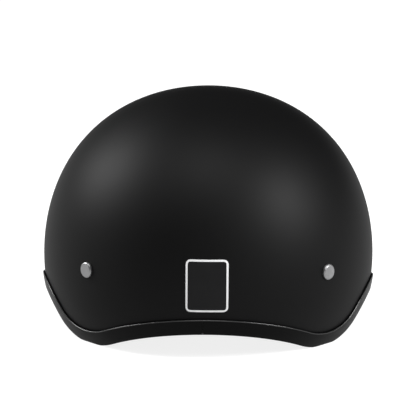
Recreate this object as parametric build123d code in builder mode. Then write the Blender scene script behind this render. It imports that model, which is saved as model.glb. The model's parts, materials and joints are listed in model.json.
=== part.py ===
from build123d import *
from bisect import bisect
import math
import os

# Half shell riding helmet, standing on its brow and its two rear lobes.
# +Z is up, the wearer faces -Y, and the wearer's left is +X.

# Shell: the outside is one taut dome, a little wider behind than in front
shell_length = 256.0
shell_width = 214.6
crown_height = 108.7
taper_share = 0.06
fullness_share = 0.019
shell_tilt = 10.6
equator_height = 41.4
shell_wall = 4.0

# Rim of the shell in side view: flat brow, arch over the ear, lobe, rising neck line
brow_end_share = 0.766
lobe_share = 0.68
lobe_radius = 28.0
ear_slope = 42.0
ear_rise = 30.9
ear_radius = 62.0
temple_radius = 150.0
neck_slope = 27.5

# Rubber channel that is pressed over the rim
trim_lip = 1.0
trim_web = 2.0
trim_inner_lip = 1.2
trim_outer_height = 6.6
trim_inner_height = 6.0
trim_fit = 0.2
trim_inner_fit = 0.55
trim_sections = 120
section_step = 0.5
seam_gap = 0.4
seam_offset = 2.4
rest_flat = 0.5

# Foam liner and pads
layer_gap = 0.3
liner_thickness = 22.0
liner_rise = 8.6
pad_gap = 1.2
pad_thickness = 7.5
pad_rise = 14.0
pad_corner = 10.0
crown_pad_width = 96.0
crown_pad_length = 120.0
brow_pad_width = 116.0
brow_pad_height = 48.0
temple_pad_length = 84.0
temple_pad_height = 62.0
temple_pad_middle = 8.0
nape_pad_width = 104.0
nape_pad_height = 62.0
hook_radius = 11.0
hook_gap = 0.1

# Rivets through the shell, two on each side, and what they hold
rivet_head_radius = 5.1
rivet_head_height = 1.7
rivet_head_bevel = 0.7
rivet_shank_radius = 2.5
rivet_tail_radius = 4.0
rivet_tail_height = 1.5
rivet_fit = 0.05
washer_radius = 8.0
washer_thickness = 0.9
washer_seat = 0.55
front_rivet_bearing = 107.0
front_rivet_level = 4.0
rear_rivet_bearing = 42.0
rear_rivet_level = -5.0

# Webbing in the liner's channels
webbing_width = 20.0
webbing_thickness = 1.6
webbing_depth = 5.9
webbing_end = 11.0
channel_side = 2.0
channel_floor = 0.4
pocket_radius = 11.0
pocket_floor = 0.8
front_exit_place = -38.0
rear_exit_place = 48.0
exit_drop = 0.5
front_exit_spread = 12.0
rear_exit_spread = 15.0

# Strap that lies folded in under the rim; each swings on the line of its two exits
hinge_gap = 1.2
lay_gap = 0.4
yoke_reach = 60.0
yoke_setback = 30.0
yoke_arm = 23.0
yoke_wall = 1.4
yoke_border = 2.6
yoke_corner = 3.0
yoke_fit = 0.3
webbing_stop = 17.0

# Ring strap, wearer's left
ring_strap_length = 52.0
ring_hem_length = 24.0
ring_wire_radius = 1.5
ring_inner_width = 22.0
ring_inner_depth = 17.0
ring_corner_radius = 3.2
ring_fit = 0.2

# Chin strap, wearer's right, with its tail snapped back on itself
chin_strap_length = 74.0
tail_length = 49.0
tail_lift = 1.4
snap_cap_radius = 7.0
snap_cap_height = 2.2
snap_stud_radius = 2.2
snap_base_radius = 5.5
snap_base_height = 0.5
snap_fit = 0.25
snap_setback = 12.0

# Sticker on the back of the shell, left bare
label_width = 26.0
label_height = 32.5
label_corner = 2.6
label_thickness = 0.35
label_level = -9.3
label_gap = 0.05

# Part of the dome's map that reaches under the rim everywhere, and its grid
map_side = 1.6
map_front = -1.45
map_rear = 1.85
map_grid = 25
patch_grid = 9
surface_tolerance = 0.01

# Steps of the searches for a place on the map and for the rim
search_start = 1.2
search_step = 1e-5
search_turns = 12
rim_levels = (-60.0, 10.0)
halvings = 30
rim_samples = 1500

half_length = shell_length / 2
half_width = shell_width / 2
overrun = shell_length
liner_depth = shell_wall + layer_gap
pad_depth = liner_depth + liner_thickness + pad_gap
strap_middle = webbing_depth + webbing_thickness / 2
half_webbing = webbing_width / 2
half_thickness = webbing_thickness / 2

os.makedirs("parts", exist_ok=True)


def write(piece, name):
    """Label a finished piece and write it under the same name."""
    piece.part.label = name
    export_step(piece.part, f"parts/{name}.step")


def dome_normal(p, q):
    """Outward direction of the dome at two map coordinates, before the tilt."""
    scale = 1 + p * p + q * q
    nx, ny, nz = 2 * p / scale, 2 * q / scale, 2 / scale - 1
    width = half_width * (1 + taper_share * ny)
    gx = nx / width
    gy = (ny - half_width * taper_share * nx * gx) / half_length
    return Vector(gx, gy, nz / crown_height).normalized()


def dome_point(p, q, depth=0.0):
    """Point of the dome, at a depth under its outside, from two map coordinates.

    The map is a flat one of a unit sphere seen from its foot, so it has no pole:
    (0, 0) is the crown and a distance of 1 is the widest level.
    """
    scale = 1 + p * p + q * q
    nx, ny, nz = 2 * p / scale, 2 * q / scale, 2 / scale - 1
    swell = 1 + 4 * fullness_share * nz**2 * (1 - nz**2)
    width = half_width * (1 + taper_share * ny)
    outside = Vector(swell * width * nx, swell * half_length * ny, swell * crown_height * nz)
    inside = outside - dome_normal(p, q) * depth
    return inside.rotate(Axis.X, shell_tilt) + Vector(0, 0, equator_height)


def map_place(bearing, level):
    """Map coordinates of a bearing from the back and an angle above the widest level."""
    reach = math.cos(math.radians(level)) / (1 + math.sin(math.radians(level)))
    return reach * math.sin(math.radians(bearing)), reach * math.cos(math.radians(bearing))


def map_from_side(y, z, depth):
    """Map coordinates of the left half's point that stands at y and z in side view."""
    p, q = search_start, 0.0
    for turn in range(search_turns):
        here = dome_point(p, q, depth)
        by_p = (dome_point(p + search_step, q, depth) - here) * (1 / search_step)
        by_q = (dome_point(p, q + search_step, depth) - here) * (1 / search_step)
        miss_y, miss_z = y - here.Y, z - here.Z
        turn_rate = by_p.Y * by_q.Z - by_q.Y * by_p.Z
        p += (miss_y * by_q.Z - by_q.Y * miss_z) / turn_rate
        q += (by_p.Y * miss_z - miss_y * by_p.Z) / turn_rate
    return p, q


def dome_face(depth, p_range=(-map_side, map_side), q_range=(map_front, map_rear), count=map_grid):
    """One smooth face of the dome at a depth, over a part of the map."""
    share = [place / (count - 1) for place in range(count)]
    across = [p_range[0] + (p_range[1] - p_range[0]) * s for s in share]
    along = [q_range[0] + (q_range[1] - q_range[0]) * s for s in share]
    rows = [[dome_point(p, q, depth) for q in along] for p in across]
    return Face.make_surface_from_array_of_points(rows, tol=surface_tolerance)


def layer_side(face):
    """1 where a face of the dome faces inwards and -1 where it faces outwards."""
    middle = face.center()
    return 1 if face.normal_at(middle).dot(middle - Vector(0, 0, equator_height)) < 0 else -1


def dome_layer(start, thickness, **map_ranges):
    """Solid layer of the dome, from a depth inwards."""
    face = dome_face(start, **map_ranges)
    return Solid.thicken(face, layer_side(face) * thickness)


def patch_range(p, q, reach):
    """Map ranges of a small patch about a place, as wide as a reach on the shell."""
    span = reach * (1 + p * p + q * q) / shell_width
    return {"p_range": (p - span, p + span), "q_range": (q - span, q + span), "count": patch_grid}


def surface_plane(p, q, depth=0.0):
    """Plane that touches the dome at a depth, facing outwards, with its y upwards."""
    outwards = dome_normal(p, q).rotate(Axis.X, shell_tilt)
    level = Vector(0, 0, 1).cross(outwards)
    return Plane(origin=dome_point(p, q, depth), x_dir=level, z_dir=outwards)


# Rim outline in side view, as corners that are rounded afterwards
lobe_middle = half_length * lobe_share
ear_angle = math.radians(ear_slope)
neck_angle = math.radians(neck_slope)
lobe_height = trim_web + lobe_radius
ear_start = (lobe_middle - lobe_radius * math.sin(ear_angle), lobe_height - lobe_radius * math.cos(ear_angle))
neck_start = (lobe_middle + lobe_radius * math.sin(neck_angle), lobe_height - lobe_radius * math.cos(neck_angle))
ear_fall, neck_climb = math.tan(ear_angle), math.tan(neck_angle)
lobe_corner_y = (ear_start[1] - neck_start[1] + ear_fall * ear_start[0] + neck_climb * neck_start[0]) / (
    ear_fall + neck_climb
)
lobe_corner = (lobe_corner_y, neck_start[1] + neck_climb * (lobe_corner_y - neck_start[0]))
ear_corner = (ear_start[0] - (ear_rise - ear_start[1]) / ear_fall, ear_rise)
brow_corner = (-half_length * brow_end_share, trim_web)
neck_end = (shell_length, neck_start[1] + neck_climb * (shell_length - neck_start[0]))

with BuildLine() as rim:
    FilletPolyline(
        (-shell_length, trim_web),
        brow_corner,
        ear_corner,
        lobe_corner,
        neck_end,
        radius=[temple_radius, ear_radius, lobe_radius],
    )


rim_points = [rim.wire() @ (place / rim_samples) for place in range(rim_samples + 1)]
rim_along = [point.X for point in rim_points]


def rim_height(y):
    """Height of the shell's edge at a place along the helmet."""
    after = bisect(rim_along, y)
    before, beyond = rim_points[after - 1], rim_points[after]
    return before.Y + (beyond.Y - before.Y) * (y - before.X) / (beyond.X - before.X)


def rim_point(bearing):
    """Map coordinates of the shell's edge at a bearing from the back."""
    low, high = rim_levels
    for halving in range(halvings):
        middle = (low + high) / 2
        place = dome_point(*map_place(bearing, middle))
        if place.Z < rim_height(place.Y):
            low = middle
        else:
            high = middle
    return map_place(bearing, low)


def rim_plane(bearing):
    """Plane across the rim: its x points out of the shell and its y up along it."""
    before = dome_point(*rim_point(bearing - section_step))
    after = dome_point(*rim_point(bearing + section_step))
    place = rim_point(bearing)
    outwards = dome_normal(*place).rotate(Axis.X, shell_tilt)
    return Plane(origin=dome_point(*place), x_dir=outwards, z_dir=after - before)


def below_rim(rise):
    """Everything under the rim outline, which is raised by a distance first."""
    with BuildPart() as below:
        with BuildSketch(Plane.YZ):
            with BuildLine():
                add(rim.line)
                Polyline(neck_end, (shell_length, -shell_length), (-shell_length, -shell_length))
                Line((-shell_length, -shell_length), (-shell_length, trim_web))
            make_face()
            if rise != 0:
                offset(amount=rise)
        extrude(amount=overrun, both=True)
    return below.part


def rim_layer(depth, thickness, rise):
    """Solid layer of the dome, from a depth inwards, that ends square to it along the raised rim."""
    whole = dome_face(depth)
    kept = whole - below_rim(rise)
    return Solid.thicken(kept.face(), layer_side(whole) * thickness)


# Places of the rivets and of the webbing's exits, on the wearer's left
rivet_places = {
    "front": map_place(front_rivet_bearing, front_rivet_level),
    "rear": map_place(rear_rivet_bearing, rear_rivet_level),
}


def exit_point(y, spread):
    """Where webbing leaves the rim: under the trim's lowest place there, just inside its inner lip."""
    height = rim_height(y + spread) - trim_web - exit_drop
    return dome_point(*map_from_side(y, height, strap_middle), strap_middle)


front_exit = exit_point(front_exit_place, -front_exit_spread)
rear_exit = exit_point(rear_exit_place, rear_exit_spread)
exit_points = {"front": front_exit, "rear": rear_exit}
hinge_line = (rear_exit - front_exit).normalized()
exit_span = (rear_exit - front_exit).length

# Outer shell with its four rivet holes
shell_layer = rim_layer(0, shell_wall, 0)
with BuildPart() as outer_shell:
    add(shell_layer)
    for p, q in rivet_places.values():
        for side in (1, -1):
            with BuildSketch(surface_plane(side * p, q)):
                Circle(rivet_shank_radius + rivet_fit)
            extrude(amount=rivet_head_radius, both=True, mode=Mode.SUBTRACT)
write(outer_shell, "outer_shell")

# Edge trim: a rubber channel with a tall outer lip, open at a seam behind
trim_foot = -trim_web - rest_flat
trim_groove = -shell_wall - trim_inner_fit
trim_back = trim_groove - trim_inner_lip
trim_profile = [
    (trim_lip, trim_foot),
    (trim_lip, trim_outer_height),
    (trim_fit, trim_outer_height),
    (trim_fit, -trim_fit),
    (trim_groove, -trim_fit),
    (trim_groove, trim_inner_height),
    (trim_back, trim_inner_height),
    (trim_back, trim_foot),
]
seam_bearing = math.degrees(seam_offset / half_width)
seam_turn = math.degrees(seam_gap / shell_width)
trim_run = 360 - 2 * seam_turn
with BuildPart() as edge_trim:
    for section in range(trim_sections + 1):
        with BuildSketch(rim_plane(seam_bearing + seam_turn + trim_run * section / trim_sections)):
            with BuildLine():
                Polyline(*trim_profile, close=True)
            make_face()
    loft()
    split(bisect_by=Plane.XY, keep=Keep.TOP)
write(edge_trim, "edge_trim")


def webbing_strip(place, width, start_depth, thickness, low_run):
    """Strip that follows the dome from above a rivet down to its exit, on the left side.

    Its lower end is cut along the hinge line, low_run past the exit.
    """
    rivet = dome_point(*rivet_places[place], strap_middle)
    leave = exit_points[place]
    map_exit = map_from_side(leave.Y, leave.Z, strap_middle)
    middle = [(a + b) / 2 for a, b in zip(rivet_places[place], map_exit)]
    plane = surface_plane(*middle, start_depth)
    top = plane.to_local_coords(rivet)
    low = plane.to_local_coords(leave)
    down = Vector(low.X - top.X, low.Y - top.Y, 0).normalized()
    across = Vector(-down.Y, down.X, 0)
    hinge = plane.to_local_coords(leave + hinge_line) - low
    hinge = Vector(hinge.X, hinge.Y, 0) * (width / 2 / abs(hinge.dot(across)))
    if hinge.dot(across) < 0:
        hinge = hinge * -1
    first = Vector(top.X, top.Y, 0) - down * webbing_end
    last = Vector(low.X, low.Y, 0) + down * low_run
    half = across * (width / 2)
    reach = patch_range(*middle, (rivet - leave).length)
    with BuildPart() as strip:
        with BuildSketch(plane):
            with BuildLine():
                Polyline(first - half, first + half, last + hinge, last - hinge, close=True)
            make_face()
        extrude(amount=overrun / 8, both=True)
        add(dome_layer(start_depth, thickness, **reach), mode=Mode.INTERSECT)
    return strip.part


anchor_webbing = {}
for place, (p, q) in rivet_places.items():
    anchor_strip = webbing_strip(place, webbing_width, webbing_depth, webbing_thickness, -hinge_gap)
    with BuildPart() as anchor:
        add(anchor_strip)
        with BuildSketch(surface_plane(p, q)):
            Circle(rivet_shank_radius + 2 * rivet_fit)
        extrude(amount=-pocket_radius, mode=Mode.SUBTRACT)
    anchor_webbing[place] = anchor.part

# Foam liner with a channel for each webbing and a pocket for each rivet's tail
tail_depth = webbing_depth + webbing_thickness + washer_seat + washer_thickness + rivet_tail_height
channel_depth = webbing_depth + webbing_thickness + channel_floor - shell_wall
channel_width = webbing_width + 2 * channel_side
liner_layer = rim_layer(liner_depth, liner_thickness, liner_rise)
channels = [
    webbing_strip(place, channel_width, shell_wall, channel_depth, webbing_width) for place in rivet_places
]
with BuildPart() as impact_liner:
    add(liner_layer)
    for channel in channels:
        add(channel, mode=Mode.SUBTRACT)
        add(mirror(channel, about=Plane.YZ, mode=Mode.PRIVATE), mode=Mode.SUBTRACT)
    for p, q in rivet_places.values():
        for side in (1, -1):
            with BuildSketch(surface_plane(side * p, q)):
                Circle(pocket_radius)
            extrude(amount=-(tail_depth + pocket_floor), mode=Mode.SUBTRACT)
write(impact_liner, "impact_liner")

# Comfort pads, all cut from one padding layer
padding = rim_layer(pad_depth, pad_thickness, pad_rise)


def pad_from(plane, middle, width, height, reach):
    """Pad cut from the padding layer by a rounded outline that is carried along a plane's normal."""
    with BuildPart() as pad:
        with BuildSketch(plane):
            with Locations(middle):
                RectangleRounded(width, height, pad_corner)
        extrude(amount=reach)
        add(padding, mode=Mode.INTERSECT)
    return pad


pad_level = equator_height
write(pad_from(Plane.XY.offset(equator_height), (0, 0), crown_pad_width, crown_pad_length, overrun), "crown_pad")
write(pad_from(Plane.XZ, (0, pad_level), brow_pad_width, brow_pad_height, overrun), "brow_pad")
temple_middle = (temple_pad_middle, pad_level + trim_web)
left_temple = pad_from(Plane.YZ, temple_middle, temple_pad_length, temple_pad_height, overrun)
write(left_temple, "left_temple_pad")
with BuildPart() as right_temple:
    mirror(left_temple.part, about=Plane.YZ)
write(right_temple, "right_temple_pad")
nape_plane = Plane(origin=(0, 0, 0), x_dir=(-1, 0, 0), z_dir=(0, 1, 0))
write(pad_from(nape_plane, (0, pad_level + pad_corner), nape_pad_width, nape_pad_height, overrun), "nape_pad")

# Hook patches between the foam and the pads
hook_places = [(0, 80), (60, 62), (300, 62), (180, 62), (155, 5), (205, 5), (90, 6), (270, 6), (20, 6), (340, 6)]
hook_depth = liner_depth + liner_thickness + hook_gap


def hook_patch(p, q):
    """Round patch that follows the inside of the foam."""
    with BuildPart() as patch:
        with BuildSketch(surface_plane(p, q, pad_depth)):
            Circle(hook_radius)
        extrude(amount=pad_thickness / 2, both=True)
        reach = patch_range(p, q, 4 * hook_radius)
        add(dome_layer(hook_depth, pad_gap - 2 * hook_gap, **reach), mode=Mode.INTERSECT)
    return patch.part


patches = [hook_patch(*map_place(bearing, level)) for bearing, level in hook_places]
with BuildPart() as hook_patches:
    add(patches)
write(hook_patches, "hook_patches")

# Rivets: low bevelled head outside, shank, flared tail inside
rivet_length = tail_depth - rivet_tail_height


def rivet_at(outside):
    """One turned rivet whose head sits on the shell, on a plane that faces outwards."""
    with BuildPart() as rivet:
        with BuildSketch(Plane(origin=outside.origin, x_dir=outside.x_dir, z_dir=-outside.y_dir)):
            with BuildLine():
                Polyline(
                    (0, rivet_head_height),
                    (rivet_head_radius - rivet_head_bevel, rivet_head_height),
                    (rivet_head_radius, rivet_head_height - rivet_head_bevel),
                    (rivet_head_radius, 0),
                    (rivet_shank_radius, 0),
                    (rivet_shank_radius, -rivet_length),
                    (rivet_tail_radius, -rivet_length),
                    (rivet_tail_radius, -tail_depth),
                    (0, -tail_depth),
                    close=True,
                )
            make_face()
        revolve(axis=Axis(outside.origin, outside.z_dir))
    return rivet


for place, (p, q) in rivet_places.items():
    for side, side_name in ((1, "left"), (-1, "right")):
        write(rivet_at(surface_plane(side * p, q)), f"{side_name}_{place}_rivet")

# Two washers on each rivet: one against the shell, one under the flared tail
washer_depths = (shell_wall + washer_seat, rivet_length - washer_thickness)
with BuildPart() as rivet_washers:
    for p, q in rivet_places.values():
        for side in (1, -1):
            for washer_depth in washer_depths:
                with BuildSketch(surface_plane(side * p, q).offset(-washer_depth)):
                    Circle(washer_radius)
                    Circle(rivet_shank_radius + rivet_fit, mode=Mode.SUBTRACT)
                extrude(amount=-washer_thickness)
write(rivet_washers, "rivet_washers")

# Fixed webbing between the rivets and the rim
for place, strip in anchor_webbing.items():
    with BuildPart() as left_anchor:
        add(strip)
    write(left_anchor, f"left_{place}_anchor")
    with BuildPart() as right_anchor:
        mirror(strip, about=Plane.YZ)
    write(right_anchor, f"right_{place}_anchor")

# Plane of a folded-in strap: it holds the hinge line, and the yoke's far edge clears the table.
# Its x runs back along the hinge line and its y runs inwards, away from the rim.
inwards = Vector(0, 0, 1).cross(hinge_line).normalized()
upwards = hinge_line.cross(inwards)
yoke_edge = yoke_reach + half_webbing + yoke_border
yoke_front = yoke_setback - yoke_arm
drop = front_exit.Z + yoke_front * hinge_line.Z - half_thickness - yoke_wall - lay_gap
rest_angle = math.asin(drop / (yoke_edge * upwards.Z))
strap_inwards = inwards * math.cos(rest_angle) - upwards * math.sin(rest_angle)
strap_plane = Plane(origin=front_exit, x_dir=hinge_line, z_dir=hinge_line.cross(strap_inwards))
yoke_middle = Vector(yoke_setback, yoke_reach)
leg_starts = {"front": Vector(0, 0), "rear": Vector(exit_span, 0)}
forwards = Vector(-1, 0)


def leg_outline(start, extra):
    """Corners of one leg in the strap's plane: cut along the hinge line, square at the yoke."""
    along = (yoke_middle - start).normalized()
    across = Vector(-along.Y, along.X)
    half = half_webbing + extra
    first = start + along * (hinge_gap / along.Y)
    edge = Vector(half / along.Y, 0)
    last = yoke_middle - along * (webbing_stop - extra)
    return [first - edge, first + edge, last - across * half, last + across * half]


def strap_outline(length, extra):
    """Corners of the single strap in the strap's plane, from inside the yoke forwards."""
    across = Vector(0, half_webbing + extra)
    first = yoke_middle + forwards * (webbing_stop - extra)
    last = yoke_middle + forwards * length
    return [first - across, first + across, last + across, last - across]


def flat_webbing(outline, extra=0.0):
    """Flat webbing with its middle in the strap's plane."""
    with BuildPart() as webbing:
        with BuildSketch(strap_plane):
            with BuildLine():
                Polyline(*outline, close=True)
            make_face()
        extrude(amount=half_thickness + extra, both=True)
    return webbing


def write_pair(piece, name):
    """Write the left piece, and its mirror image for the right."""
    write(piece, f"left_{name}")
    with BuildPart() as other:
        mirror(piece.part, about=Plane.YZ)
    write(other, f"right_{name}")


for place, start in leg_starts.items():
    write_pair(flat_webbing(leg_outline(start, 0)), f"{place}_leg")

# Yoke: a moulded plate where the two legs and the single strap meet, each in its own slot
yoke_slots = [flat_webbing(leg_outline(start, yoke_fit), yoke_fit).part for start in leg_starts.values()]
yoke_slots.append(flat_webbing(strap_outline(chin_strap_length, yoke_fit), yoke_fit).part)
arm_ways = [(start - yoke_middle).normalized() for start in leg_starts.values()] + [forwards]
with BuildPart() as yoke:
    with BuildSketch(strap_plane):
        for way in arm_ways:
            middle = yoke_middle + way * (yoke_arm / 2)
            with Locations(Location((middle.X, middle.Y), math.degrees(math.atan2(way.Y, way.X)))):
                Rectangle(yoke_arm, webbing_width + 2 * yoke_border)
        make_hull()
        fillet(vertices(), yoke_corner)
    extrude(amount=half_thickness + yoke_wall, both=True)
    add(yoke_slots, mode=Mode.SUBTRACT)
write_pair(yoke, "yoke")

# Side view of the single strap: x runs forwards from the middle of the yoke, y is up
yoke_place = strap_plane.from_local_coords(yoke_middle)
profile_plane = Plane(origin=yoke_place, x_dir=-strap_plane.x_dir, z_dir=strap_plane.y_dir)

# Ring strap: sewn back on itself round the straight bars of the two rings
loop_inner = ring_wire_radius + ring_fit
loop_outer = loop_inner + webbing_thickness
bar_gap = 2 * ring_wire_radius + ring_fit
low_bar = loop_outer - half_thickness
bar_heights = {"lower": low_bar, "upper": low_bar + bar_gap}
with BuildPart() as ring_strap:
    with BuildSketch(profile_plane):
        with BuildLine():
            Polyline(
                (webbing_stop, -half_thickness),
                (ring_strap_length, -half_thickness),
                (ring_strap_length, webbing_thickness + half_thickness),
                (ring_strap_length - ring_hem_length, webbing_thickness + half_thickness),
                (ring_strap_length - ring_hem_length, half_thickness),
                (webbing_stop, half_thickness),
                close=True,
            )
        make_face()
        with Locations((ring_strap_length, low_bar + bar_gap / 2)):
            SlotCenterToCenter(bar_gap, 2 * loop_outer, rotation=90)
            SlotCenterToCenter(bar_gap, 2 * loop_inner, rotation=90, mode=Mode.SUBTRACT)
    extrude(amount=half_webbing, both=True)
write(ring_strap, "ring_strap")

# The two rings: each a closed D of round wire, with its bar in the strap's loop
ring_half = ring_inner_width / 2 + ring_wire_radius
ring_depth = ring_inner_depth + 2 * ring_wire_radius
for level, height in bar_heights.items():
    bar = profile_plane.from_local_coords((ring_strap_length, height))
    ring_plane = Plane(origin=bar, x_dir=profile_plane.x_dir, z_dir=strap_plane.z_dir)
    with BuildPart() as ring:
        with BuildLine(ring_plane):
            Line((0, 0), (0, ring_half - ring_corner_radius))
            JernArc((0, ring_half - ring_corner_radius), (0, 1), ring_corner_radius, -90)
            Line((ring_corner_radius, ring_half), (ring_depth - ring_half, ring_half))
            JernArc((ring_depth - ring_half, ring_half), (1, 0), ring_half, -90)
        with BuildSketch(Plane(origin=bar, x_dir=ring_plane.x_dir, z_dir=ring_plane.y_dir)):
            Circle(ring_wire_radius)
        sweep()
        mirror(about=Plane(origin=bar, x_dir=ring_plane.x_dir, z_dir=ring_plane.y_dir))
    write(ring, f"{level}_ring")

# Chin strap: folded at its far end, so that the tail lies back over it
fold_inner = tail_lift / 2
fold_outer = fold_inner + webbing_thickness
tail_low = half_thickness + tail_lift
tail_middle = tail_low + half_thickness
with BuildPart() as chin_strap:
    with BuildSketch(profile_plane):
        with Locations((chin_strap_length, half_thickness + fold_inner)):
            Circle(fold_outer)
            Circle(fold_inner, mode=Mode.SUBTRACT)
            with Locations((-fold_outer, 0)):
                Rectangle(2 * fold_outer, 4 * fold_outer, mode=Mode.SUBTRACT)
        with Locations(((webbing_stop + chin_strap_length) / 2, 0)):
            Rectangle(chin_strap_length - webbing_stop, webbing_thickness)
    extrude(amount=half_webbing, both=True)

# Tail: the free end, held down by its snap
snap_place = chin_strap_length - tail_length + snap_setback
snap_plane = Plane(
    origin=profile_plane.from_local_coords((snap_place, 0)), x_dir=strap_plane.x_dir, z_dir=strap_plane.z_dir
)
socket_radius = snap_stud_radius + snap_fit + webbing_thickness
socket_low = half_thickness + snap_base_height + snap_fit
with BuildPart() as strap_tail:
    with BuildSketch(profile_plane):
        with Locations((chin_strap_length - (hinge_gap + tail_length) / 2, tail_middle)):
            Rectangle(tail_length - hinge_gap, webbing_thickness)
    extrude(amount=half_webbing, both=True)
    with BuildSketch(snap_plane):
        Circle(socket_radius + rivet_fit)
    extrude(amount=tail_middle + webbing_thickness, mode=Mode.SUBTRACT)

with BuildPart() as snap_cap:
    with BuildSketch(snap_plane.offset(tail_middle + half_thickness)):
        Circle(snap_cap_radius)
    extrude(amount=snap_cap_height, taper=30)
    with BuildSketch(snap_plane.offset(socket_low)):
        Circle(socket_radius)
    extrude(amount=tail_middle + half_thickness - socket_low)
    with BuildSketch(snap_plane.offset(socket_low)):
        Circle(snap_stud_radius + snap_fit)
    extrude(amount=tail_middle + half_thickness - socket_low, mode=Mode.SUBTRACT)

with BuildPart() as snap_stud:
    with BuildSketch(snap_plane.offset(half_thickness)):
        Circle(snap_base_radius)
    extrude(amount=snap_base_height)
    with BuildSketch(snap_plane.offset(half_thickness)):
        Circle(snap_stud_radius)
    extrude(amount=tail_middle - snap_fit)

right_pieces = {
    "chin_strap": chin_strap,
    "strap_tail": strap_tail,
    "snap_cap": snap_cap,
    "snap_stud": snap_stud,
}
for name, piece in right_pieces.items():
    with BuildPart() as right_piece:
        mirror(piece.part, about=Plane.YZ)
    write(right_piece, name)

# Rear sticker, a bare plate that follows the shell
label_place = map_place(0, label_level)
with BuildPart() as rear_label:
    with BuildSketch(surface_plane(*label_place)):
        RectangleRounded(label_width, label_height, label_corner)
    extrude(amount=label_height, both=True)
    label_start = -label_gap - label_thickness
    add(dome_layer(label_start, label_thickness, **patch_range(*label_place, label_height)), mode=Mode.INTERSECT)
write(rear_label, "rear_label")


print_digits = 5


def show(name, place):
    """Print a point that the record needs."""
    print(name, [round(value, print_digits) for value in (place.X, place.Y, place.Z)])


show("front exit, left", front_exit)
show("rear exit, left", rear_exit)
show("hinge line, left", hinge_line)
show("strap forwards, left", profile_plane.x_dir)
show("strap inwards, left", strap_inwards)
show("strap up, left", strap_plane.z_dir)
for level, height in bar_heights.items():
    show(f"{level} ring bar", profile_plane.from_local_coords((ring_strap_length, height)))
show("tail fold, left", profile_plane.from_local_coords((chin_strap_length, tail_middle)))
print("strap rest angle", round(math.degrees(rest_angle), print_digits))
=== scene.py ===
"""Half shell riding helmet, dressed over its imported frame.

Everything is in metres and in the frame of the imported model: +Z is up, the wearer faces -Y and the
wearer's left is +X. The helmet rests on its brow and on its two rear lobes.
"""
from __future__ import annotations

import json
import logging
import math
from dataclasses import dataclass, field
from enum import Enum

import bpy
import numpy as np
from mathutils import Matrix, Vector

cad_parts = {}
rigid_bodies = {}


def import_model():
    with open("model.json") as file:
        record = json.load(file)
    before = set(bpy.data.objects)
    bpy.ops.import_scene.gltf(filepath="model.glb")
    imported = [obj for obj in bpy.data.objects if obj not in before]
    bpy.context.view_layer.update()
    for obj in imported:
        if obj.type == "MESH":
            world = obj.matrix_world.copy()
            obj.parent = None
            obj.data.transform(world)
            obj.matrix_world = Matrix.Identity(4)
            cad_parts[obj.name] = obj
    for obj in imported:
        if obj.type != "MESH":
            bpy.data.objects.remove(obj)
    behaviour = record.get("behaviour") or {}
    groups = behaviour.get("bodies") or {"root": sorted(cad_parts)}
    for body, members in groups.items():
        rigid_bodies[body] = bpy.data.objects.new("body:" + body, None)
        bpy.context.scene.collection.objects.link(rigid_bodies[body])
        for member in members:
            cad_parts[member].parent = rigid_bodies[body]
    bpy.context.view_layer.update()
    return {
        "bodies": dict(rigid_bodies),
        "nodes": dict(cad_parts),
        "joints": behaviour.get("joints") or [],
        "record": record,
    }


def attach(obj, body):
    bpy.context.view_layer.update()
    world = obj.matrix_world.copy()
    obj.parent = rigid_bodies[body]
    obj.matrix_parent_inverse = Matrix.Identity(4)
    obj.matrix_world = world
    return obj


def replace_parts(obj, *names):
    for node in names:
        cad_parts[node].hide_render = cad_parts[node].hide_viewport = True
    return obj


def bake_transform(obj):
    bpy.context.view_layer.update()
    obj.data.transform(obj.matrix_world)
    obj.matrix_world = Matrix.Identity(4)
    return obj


Pair = tuple[float, float]
Triple = tuple[float, float, float]
Material = bpy.types.Material
Node = bpy.types.Node
Object = bpy.types.Object
Socket = bpy.types.NodeSocket

LOG = logging.getLogger("helmet")
MM = 0.001
PIN = 0.02 * MM  # radius at which a turned profile ends beside its axis
ALONG = np.array([0.0, 1.0, 0.0])
UP = np.array([0.0, 0.0, 1.0])


class Side(Enum):
    """Side of the wearer that a piece is on."""

    LEFT = 1
    RIGHT = -1

    @property
    def word(self) -> str:
        """The side's name in lower case."""
        return self.name.lower()


# Arrays and meshes


def unit(vectors: np.ndarray) -> np.ndarray:
    """Each vector divided by its own length."""
    vectors = np.asarray(vectors, float)
    return vectors / np.linalg.norm(vectors, axis=-1, keepdims=True)


def mirrored(points: np.ndarray, side: Side) -> np.ndarray:
    """Points of the wearer's left, moved to the asked side by turning the sign of x."""
    return np.asarray(points, float) * np.array([side.value, 1.0, 1.0])


def pairs(first: np.ndarray | float, second: np.ndarray | float) -> np.ndarray:
    """Two arrays, or an array and a number, as rows of two."""
    return np.stack(np.broadcast_arrays(first, second), -1)


def parabola(start: np.ndarray, corner: np.ndarray, end: np.ndarray, t: np.ndarray) -> np.ndarray:
    """Points (1-t)^2 S + 2 t (1-t) C + t^2 E of the curve from S to E that the corner C pulls."""
    return (1 - t) ** 2 * start + 2 * t * (1 - t) * corner + t**2 * end


def run_along(path: np.ndarray) -> np.ndarray:
    """Distance along a path from its start to each of its points."""
    return np.concatenate([[0], np.cumsum(np.linalg.norm(np.diff(path, axis=0), axis=1))])


def evenly(path: np.ndarray, count: int) -> np.ndarray:
    """Path redrawn as so many spans of one length."""
    run = run_along(path)
    even = np.linspace(0, run[-1], count + 1)
    return np.stack([np.interp(even, run, path[:, k]) for k in range(path.shape[1])], -1)


def resampled(path: np.ndarray, spacing: float) -> np.ndarray:
    """Path redrawn with points at about this distance."""
    return evenly(path, max(int(round(run_along(path)[-1] / spacing)), 2))


def evenly_round(outline: np.ndarray, count: int) -> np.ndarray:
    """Closed outline redrawn with so many points."""
    return evenly(np.vstack([outline, outline[:1]]), count)[:count]


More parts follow.
